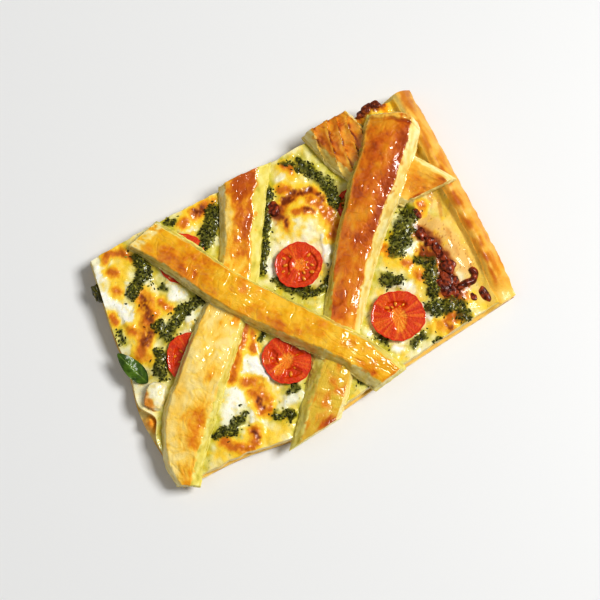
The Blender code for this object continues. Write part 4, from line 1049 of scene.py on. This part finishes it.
def strip_piece(
    name, node, rows, steps, seed, flaky, dome, ends, slopes, below, browning, slants, flank_tint
):
    """One strip lofted along its path; it lies on the filling and drapes over the pieces below it.
    Its ends are the directions of its two cuts, its slopes how far each cut leans outwards, and its slants
    the widths of the two flanks that show from above, at low t and at high t."""
    s, t, h, faces = brick(
        spread([(0.0, 0), (1.0, steps)]), np.linspace(-1.0, 1.0, 65), spread([(0.0, 0), (1.0, 20)])
    )
    path = along(rows, PATH_STEPS + 1)
    way = np.gradient(path[:, :2], axis=0)
    way /= np.linalg.norm(way, axis=1)[:, None]
    length = float(np.linalg.norm(np.diff(path[:, :2], axis=0), axis=1).sum())
    column = lambda values: np.interp(s * PATH_STEPS, np.arange(PATH_STEPS + 1), values)
    cx, cy, z0, lid, wide, roll = (column(path[:, k]) for k in range(6))
    wx, wy = column(way[:, 0]), column(way[:, 1])
    sx, sy = -wy, wx
    ax, ay = sx.copy(), sy.copy()
    for (qx, qy), near_end in zip(ends, (s, 1.0 - s)):
        size = math.hypot(qx, qy)
        sign = np.where(qx * sx + qy * sy > 0, 1.0, -1.0) / size
        blend = 1.0 - smooth(near_end / 0.16)
        ax, ay = ax + (qx * sign - ax) * blend, ay + (qy * sign - ay) * blend
    size = np.hypot(ax, ay)
    ax, ay = ax / size, ay / size
    stretch = np.maximum(ax * sx + ay * sy, 0.5)
    ax, ay = ax / stretch, ay / stretch
    run = s * length
    flank = np.interp(h, *FLANK)
    across = t * flank
    width = wide / 2 * (1.0 + 0.03 * wobble(run, 0.0, 9.0, seed) + 0.02 * wobble(run, 0.0, 3.0, seed + 1))
    round_end = browning.get("round_end", 0.0)
    off = across * width
    ripple = 1.0 + 0.3 * wobble(run, 0.0, 8.0, seed + 20) + 0.15 * wobble(run, 0.0, 2.5, seed + 21)
    slant = np.where(t < 0, slants[0](s), slants[1](s)) * ripple
    down = np.clip((np.abs(off) - 0.93 * width + slant) / np.maximum(slant, 0.4), 0.0, 1.0)
    crown = 1.04 - 0.05 * np.abs(t) ** 2 - 0.45 * smooth(down * 0.8) - 0.06 * down
    top = z0 + crown * (lid - z0) + roll * across + dome * (1.0 - t * t)
    bent_run = run + 3.0 * wobble(run, off, 8.0, seed + 30)
    bent_off = off + 1.5 * wobble(run, off, 7.0, seed + 31) + 0.6 * wobble(run, off, 2.4, seed + 32)
    ragged_run = run + 1.5 * wobble(off, 0.0, 2.2, seed + 36)
    bare_end = 1.0 - smooth((ragged_run - browning.get("bare_end", -3.0)) / 2.0)
    step = (0.16 * bent_off + 5.5 * s) % 1.0
    shingle = flaky * (step**1.5 - 0.5) * (1.0 - smooth((s - 0.3) / 0.2))
    puff = 0.75 * wobble(run, off, 11.0, seed + 2) + 0.35 * wobble(run, off, 4.0, seed + 3)
    lined = smooth(0.3 + 2.0 * wobble(run, off, 7.0, seed + 34))
    long_creases = np.exp(-((wobble(bent_run / 4.0, bent_off, 3.4, seed + 4) / 0.05) ** 2))
    cross_creases = np.exp(-((wobble(bent_run, bent_off / 3.0, 3.4, seed + 5) / 0.05) ** 2))
    creases = -0.6 * lined * long_creases - 0.5 * (1.0 - lined) * cross_creases
    blister = 0.8 * np.maximum(wobble(bent_run / 1.5, bent_off, 2.6, seed + 6) - 0.3, 0.0)
    grit = 0.06 * wobble(run, off, 0.7, seed + 33)
    lip_at = run - 6.4 - 2.0 * t + 0.9 * wobble(off, 0.0, 4.0, seed + 35)
    lip = bool(round_end) * (1.0 - smooth((lip_at + 1.6) / 1.2))
    lip_crease = bool(round_end) * np.exp(-((lip_at / 0.8) ** 2))
    top = top + shingle + (puff + 0.5 * creases + blister + grit) * (1.0 - 0.4 * np.abs(t) ** 6)
    top = top + 0.7 * lip - 0.7 * lip_crease
    lean = (slopes[0] * (1.0 - smooth(s / 0.02)) - slopes[1] * smooth((s - 0.98) / 0.02)) * h
    lean = lean + round_end * np.clip(1.0 - s / 0.08, 0.0, 1.0) * corner_share(t)
    x = cx + ax * off + wx * lean
    y = cy + ay * off + wy * lean
    under = z0.copy()
    trees = surface_below(below)
    for index in np.nonzero(h < 1.0)[0]:
        place = ((x[index] - PLAN_MIDDLE[0]) * MM, (y[index] - PLAN_MIDDLE[1]) * MM, RAY_FROM)
        for tree in trees:
            hit = tree.ray_cast(place, (0.0, 0.0, -1.0))[0]
            if hit and hit.z / MM + 0.1 > under[index]:
                under[index] = hit.z / MM + 0.1
    under = np.minimum(under, top - 1.2)
    z = under + h * (top - under)
    side = np.abs(t) == 1.0
    end = (s == 0.0) | (s == 1.0)
    open_face = (side | end) & (h > 0) & (h < 1)
    rise = 2 * np.pi * h * LEAVES_IN_FLANK + 4.5 * wobble(run, t, 7.0, seed + 7, h * 3.0)
    leaves = np.sin(rise + 2.2 * wobble(run + off, t, 2.0, seed + 8, h * 3.0))
    crumbs = 0.45 * wobble(run + off, t, 3.0, seed + 9, z) + 0.2 * wobble(run + off, t, 0.9, seed + 10, z)
    jut = open_face * (0.2 * leaves + crumbs)
    endward = 1.0 * (s == 1.0) - (s == 0.0)
    x = x + jut * (ax * np.sign(t) * side + wx * endward)
    y = y + jut * (ay * np.sign(t) * side + wy * endward)

    broad = wobble(bent_run / 1.5, bent_off, 10.0, seed + 11)
    broad = broad + 0.6 * wobble(bent_run, bent_off, 4.5, seed + 12)
    streak = wobble(bent_run / 3.0, bent_off, 1.6, seed + 13)
    spot = wobble(run, off, 1.6, seed + 14)
    frayed = (0.35 * spot + 0.4 * streak) * np.clip(down * 5.0, 0.0, 1.0)
    up = smooth((h - 0.86) / 0.12) * smooth((0.25 + frayed - down) / 0.2)
    warm = browning["level"](s, across) + 1.1 * broad + 0.45 * streak - 0.5 * creases
    cracks = smooth(1.8 * (-creases) - 0.1) * smooth(0.7 - 0.5 * warm)
    olive_run = smooth((s - browning.get("olive_from", 2.0)) / 0.05)
    rim_line = up * smooth((down - 0.01) / 0.1) + up * smooth((np.abs(t) - 0.86) / 0.1)
    low = 1.0 - up
    fibre = 1.5 * wobble(run / 5.0, down * 2.6 + (1.0 - h) * 3.0, 0.8, seed + 16) + 0.5 * spot
    leafy = np.where(h > 0.99, fibre, 0.6 * leaves + fibre)
    middle_tone, light_edge, dark_gap = (np.where((t < 0)[:, None], a, b) for a, b in zip(*flank_tint))
    loose_part = flaky * (1.0 - smooth((s - 0.42) / 0.1))
    # Painted shade in the seams and painted light on the crests of the loose leaves, so that their steps show
    painted_seam_shade, painted_ridge_light = loose_part * smooth((0.3 - step) / 0.2), loose_part * smooth((step - 0.72) / 0.2)
    colours = paint(
        np.full((len(x), 3), browning["pale"], float),
        # The glazed top by rising heat, its cracks, the turned lip, the oily stretch and the bare edges
        (browning["gold"], up * smooth(warm * 0.7 + 0.8)),
        (browning["amber"], up * smooth(warm * 0.8 + 0.25 + 0.25 * spot)),
        (browning["brown"], up * smooth(warm * 0.8 - 0.35 + 0.35 * spot) * 0.9),
        ((255, 216, 90), up * cracks * browning.get("cracks", 0.35)),
        (browning["brown"], up * smooth(-creases * 1.6 - 0.25) * smooth(0.2 + warm) * 0.35),
        ((250, 204, 92), up * lip * smooth(0.8 + spot) * 0.8),
        ((150, 58, 4), up * lip_crease * smooth(0.7 + t) * 0.7),
        ((222, 196, 64), up * olive_run * smooth(0.6 + 0.5 * streak - 1.2 * broad) * 0.75),
        ((252, 206, 92), rim_line * 0.7 * smooth(0.7 + spot)),
        # The pale flanks, with light and dark leaves
        (middle_tone, low * 0.95),
        (light_edge, low * smooth(0.3 + 0.8 * leafy) * 0.8),
        (dark_gap, low * smooth(-0.15 - leafy) * 0.6),
        ((204, 182, 84), low * smooth((0.45 - h) / 0.4) * 0.4),
        # The bare start, and painted shade in the seams and painted light on the ridges of loose leaves
        ((252, 228, 150), up * bare_end * smooth(0.75 + streak + 0.5 * spot)),
        ((112, 40, 2), up * painted_seam_shade * smooth(0.5 + streak) * 0.4),
        ((250, 190, 66), up * painted_ridge_light * smooth(0.6 + streak) * 0.4),
    )
    gloss = 0.6 - 0.2 * up + 0.1 * up * smooth(-warm)
    piece = make_piece(name, np.stack([x, y, z], 1), faces, colours, gloss, glazed, 60.0)
    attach(piece, "root")
    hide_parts(node)


def wide(*stops):
    """A width that changes along a strip: shares of its length, then widths in millimetres."""
    return lambda s: np.interp(s, *stops)


# Colours of a flank: the leaves' middle tone, their light edges and the dark gaps
CREAM = ((250, 226, 134), (255, 242, 178), (228, 184, 80))
LIME = ((232, 214, 96), (248, 238, 150), (186, 170, 52))
OLIVE = ((228, 208, 116), (246, 232, 156), (168, 146, 58))
# Tones of a glazed top from the palest to the darkest, and how much its cracks show
YELLOW = {
    "pale": (250, 198, 58), "gold": (242, 174, 8), "amber": (226, 130, 0), "brown": (184, 80, 0),
    "cracks": 0.7,
}


def left_level(s, u):
    """How brown the left strip is, by the share s of its length and u across it from -1 to 1."""
    far_part = 1.2 * (1 - smooth((s - 0.16) / 0.2)) * smooth(1.6 - 2 * np.abs(u - 0.1))
    near_part = 0.5 * smooth((s - 0.7) / 0.15) * smooth(2.0 - 3 * np.abs(u - 0.1))
    return -0.65 + 0.5 * (1 - smooth((s - 0.42) / 0.06)) + far_part + near_part


def right_level(s, u):
    """The same for the right strip, with a dark band along the start of its upper side."""
    band = 1.3 * np.exp(-(((u - 0.5) / 0.26) ** 2)) * (1 - smooth((s - 0.26) / 0.2))
    middle, pale_part = 0.15 * smooth((s - 0.25) / 0.15), 0.7 * smooth((s - 0.62) / 0.08)
    return 0.15 + band + middle - pale_part + 0.9 * smooth((s - 0.93) / 0.05)


strip_piece(
    "pastry_strip_left", "strip_left", STRIP_LEFT, steps=360, seed=21, flaky=0.0, dome=0.3,
    ends=((1.0, -0.06), (0.86, -0.5)), slopes=(1.5, 0.5), below=("tomato_half_4",),
    browning={**YELLOW, "pale": (255, 226, 140), "gold": (252, 192, 50), "level": left_level},
    slants=(
        wide((0.0, 0.3, 0.5, 1.0), (3.0, 3.4, 1.6, 2.4)),
        wide((0.0, 0.3, 0.5, 0.7, 1.0), (6.0, 6.0, 2.0, 3.0, 4.0)),
    ),
    flank_tint=(CREAM, LIME),
)
strip_piece(
    "pastry_strip_top", "strip_top", STRIP_TOP, steps=170, seed=41, flaky=2.2, dome=0.2,
    ends=((1.0, 0.0), (1.0, -0.09)), slopes=(0.5, 0.5), below=("tomato_half_6",),
    browning={
        "pale": (250, 208, 96), "gold": (240, 168, 40), "amber": (220, 124, 14), "brown": (166, 72, 4),
        "level": lambda s, u: 0.1 - 0.3 * smooth((s - 0.35) / 0.3) + 0.7 * smooth((s - 0.93) / 0.05),
    },
    slants=(wide((0.0, 1.0), (4.0, 2.5)), wide((0.0, 0.6, 1.0), (1.2, 2.0, 3.6))),
    flank_tint=(CREAM, CREAM),
)
strip_piece(
    "pastry_strip_right", "strip_right", STRIP_RIGHT, steps=420, seed=31, flaky=0.0, dome=1.2,
    ends=((0.88, -0.47), (1.0, 0.05)), slopes=(2.6, 0.5), below=("pastry_strip_top", "tomato_half_6"),
    browning={
        "pale": (240, 172, 46), "gold": (224, 132, 8), "amber": (208, 102, 0), "brown": (166, 66, 0),
        "cracks": 0.2, "round_end": 6.0, "olive_from": 0.72, "level": right_level,
    },
    slants=(
        wide((0.0, 0.5, 0.75, 1.0), (1.0, 1.2, 6.0, 4.5)),
        wide((0.0, 0.06, 0.5, 0.75, 1.0), (3.0, 5.0, 4.6, 2.0, 1.5)),
    ),
    flank_tint=(LIME, CREAM),
)
strip_piece(
    "pastry_strip_long", "strip_long", STRIP_LONG, steps=400, seed=51, flaky=0.0, dome=0.2,
    ends=((1.0, 0.2), (1.0, 0.12)), slopes=(3.6, 1.4),
    below=("pastry_strip_left", "pastry_strip_right", "tomato_half_3", "tomato_half_5"),
    browning={**YELLOW, "bare_end": 6.5, "level": lambda s, u: 0.3 * np.sin(5 * s + 1.2)},
    slants=(wide((0.0, 0.1, 0.5, 1.0), (1.0, 2.2, 1.8, 4.6)), wide((0.0, 0.5, 1.0), (2.6, 1.6, 3.4))),
    flank_tint=(OLIVE, LIME),
)


# Lump of fresh cheese
# A soft cube of curd cheese that slumped in the oven and stands at the left
# cut, cream white with one browned side.
LUMP_AT, LUMP_SIZE, LUMP_MID_Z, LUMP_TURN = (-88.6, -15.2), (13.6, 9.6, 9.0), 11.8, math.radians(48.0)
s, t, h, faces = brick(*[np.linspace(-1.0, 1.0, 41)] * 3)
block = np.stack([s, t, h], 1)
block = block + (block / np.linalg.norm(block, axis=1)[:, None] * 1.12 - block) * 0.62
block *= np.array(LUMP_SIZE) / 2
block *= (1.0 + 0.12 * lumps(block, 5.0, 9) + 0.05 * lumps(block, 1.6, 10))[:, None]
cos, sin = math.cos(LUMP_TURN), math.sin(LUMP_TURN)
points = block @ np.array([[cos, sin, 0], [-sin, cos, 0], [0, 0, 1]]) + (*LUMP_AT, LUMP_MID_Z)
patch = lumps(points, 3.0, 11)
colours = paint(
    np.full(points.shape, (250.0, 242.0, 206.0)),
    ((240, 216, 128), smooth(0.3 + 1.3 * patch) * 0.8),
    ((226, 136, 30), smooth((-points[:, 0] - 90.5 + 1.8 * patch) / 2.0) * 0.85),
    ((196, 184, 90), smooth((9.5 - points[:, 2]) / 2.0) * 0.6),
)
cheese_lump = make_piece("lump_of_fresh_cheese", points, faces, colours, 0.4, custard)
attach(cheese_lump, "root")
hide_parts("cheese_lump")


# Clot of herb paste
# Paste that ran over the left cut and set there in a dark crumbly lump.
CLOT_AT, CLOT_SIZE = (-88.6, 44.5, 9.5), (2.8, 4.2, 3.0)
rough = 1.0 + 0.5 * lumps(ball, 0.7, 114) + 0.35 * lumps(ball, 0.3, 115)
points = ball * rough[:, None] * CLOT_SIZE + CLOT_AT
patch = lumps(points, 1.0, 116)
colours = paint(
    np.full(points.shape, (70.0, 68.0, 10.0)),
    ((150, 132, 30), smooth(-0.1 + 1.8 * patch)),
    ((30, 30, 6), smooth(-0.1 - 1.8 * patch)),
)
herb_clot = make_piece("clot_of_herb_paste", points, ball_faces, colours, 0.5, custard, 80.0)
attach(herb_clot, "root")


# Herb leaf
# One basil leaf, wilted and shiny with oil, that hangs over the left cut.
LEAF_AT, LEAF_L, LEAF_W, LEAF_T, LEAF_Z, LEAF_TURN = (-91.6, 2.6), 20.5, 8.0, 0.7, 12.6, math.radians(107.0)
u, v, h, faces = brick(np.linspace(-1.0, 1.0, 81), np.linspace(-1.0, 1.0, 41), np.array([0.0, 0.5, 1.0]))
half = LEAF_W / 2 * (1.0 - np.abs(u) ** 2.2) ** 0.8 * (1.0 - 0.25 * u) + 0.25
side_way, long_way = v * half, u * LEAF_L / 2
outward = side_way / (LEAF_W / 2)
side_veins = 0.6 * np.exp(-((np.sin(9.0 * u - 5.0 * np.abs(v)) / 0.16) ** 2)) * (np.abs(v) < 0.85)
vein = np.exp(-((v / 0.07) ** 2)) + side_veins
high = LEAF_Z + 0.7 * np.sin(long_way / 3.3 + 1.9 * outward) - 1.6 * smooth(outward) + 0.05 * long_way
high = high + 0.2 * wobble(long_way, side_way, 1.6, 61) - 0.16 * vein * h
cos, sin = math.cos(LEAF_TURN), math.sin(LEAF_TURN)
x = LEAF_AT[0] + long_way * cos - side_way * sin
y = LEAF_AT[1] + long_way * sin + side_way * cos
points = np.stack([x, y, high + LEAF_T * h], 1)
patch = wobble(long_way, side_way, 3.0, 62)
colours = paint(
    np.full(points.shape, (84.0, 116.0, 26.0)),
    ((44, 70, 14), smooth(0.4 + patch)),
    ((146, 164, 62), vein * 0.6 * (h > 0.5)),
)
green = Finish("wilted_leaf", {"Specular IOR Level": 0.2, "Coat Weight": 0.3, "Coat Roughness": 0.1})
pores = green.grain(2200.0, 2.0)
green.dress(green.shaded(green.kept("colour", "Color"), pores, 0.8, 1.2), 0.35, pores, 0.0002)
herb_leaf = make_piece("basil_leaf", points, faces, colours, 0.35, green)
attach(herb_leaf, "root")
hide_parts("herb_leaf")


# Floor, light and camera
# A pale floor under a large soft light from the border side, with a weaker one
# opposite, and the camera looking steeply down at the slice.
WORLD_LIGHT = 0.19
floor_mesh = bpy.data.meshes.new("floor")
floor_mesh.from_pydata([(-3, -3, 0), (3, -3, 0), (3, 3, 0), (-3, 3, 0)], [], [(0, 1, 2, 3)])
floor = bpy.data.objects.new("floor", floor_mesh)
bpy.context.scene.collection.objects.link(floor)
pale = Finish("pale_floor", {"Roughness": 0.5, "Base Color": (0.83, 0.83, 0.82, 1.0)})
floor_mesh.materials.append(pale.material)
floor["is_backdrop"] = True

LOOK_AT, CAMERA_FAR = Vector((-0.00268, -0.00556, 0.018)), 0.75
AZIMUTH, ELEVATION = math.radians(-29.5), math.radians(80.0)
HALF_PICTURE_PX, METRES_TO_PX = 300, 0.49e-3
HALF_VIEW = math.atan(HALF_PICTURE_PX * METRES_TO_PX / CAMERA_FAR)
level_back = math.cos(ELEVATION)
back = Vector((math.sin(AZIMUTH) * level_back, -math.cos(AZIMUTH) * level_back, math.sin(ELEVATION)))
camera = bpy.data.objects.new("camera", bpy.data.cameras.new("camera"))
camera.data.sensor_fit = "HORIZONTAL"
camera.data.angle = 2 * HALF_VIEW
camera.location = LOOK_AT + back * CAMERA_FAR
camera.rotation_euler = (math.pi / 2 - ELEVATION, 0.0, AZIMUTH)
bpy.context.scene.collection.objects.link(camera)
bpy.context.scene.camera = camera


def soft_light(name, azimuth, elevation, away, size, power):
    """A square soft light turned to the middle of the tart, its azimuth counted from the picture's right."""
    lamp = bpy.data.objects.new(name, bpy.data.lights.new(name, "AREA"))
    turn, rise = math.radians(azimuth) + AZIMUTH, math.radians(elevation)
    toward = Vector((math.cos(turn) * math.cos(rise), math.sin(turn) * math.cos(rise), math.sin(rise)))
    lamp.location = toward * away
    lamp.rotation_euler = (-lamp.location).to_track_quat("-Z", "Y").to_euler()
    lamp.data.size = size
    lamp.data.energy = power
    bpy.context.scene.collection.objects.link(lamp)


soft_light("window", 14.0, 56.0, 2.4, 0.75, 45.0)
soft_light("bounce", 190.0, 60.0, 1.4, 0.9, 1.2)
world = bpy.data.worlds.new("studio")
bpy.context.scene.world = world
world.use_nodes = True
sky = world.node_tree.nodes["Background"]
sky.inputs["Color"].default_value = (1.0, 1.0, 1.0, 1.0)
sky.inputs["Strength"].default_value = WORLD_LIGHT
bpy.context.scene.view_settings.view_transform = "Standard"
bpy.context.scene.view_settings.look = "Medium High Contrast"

low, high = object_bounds()
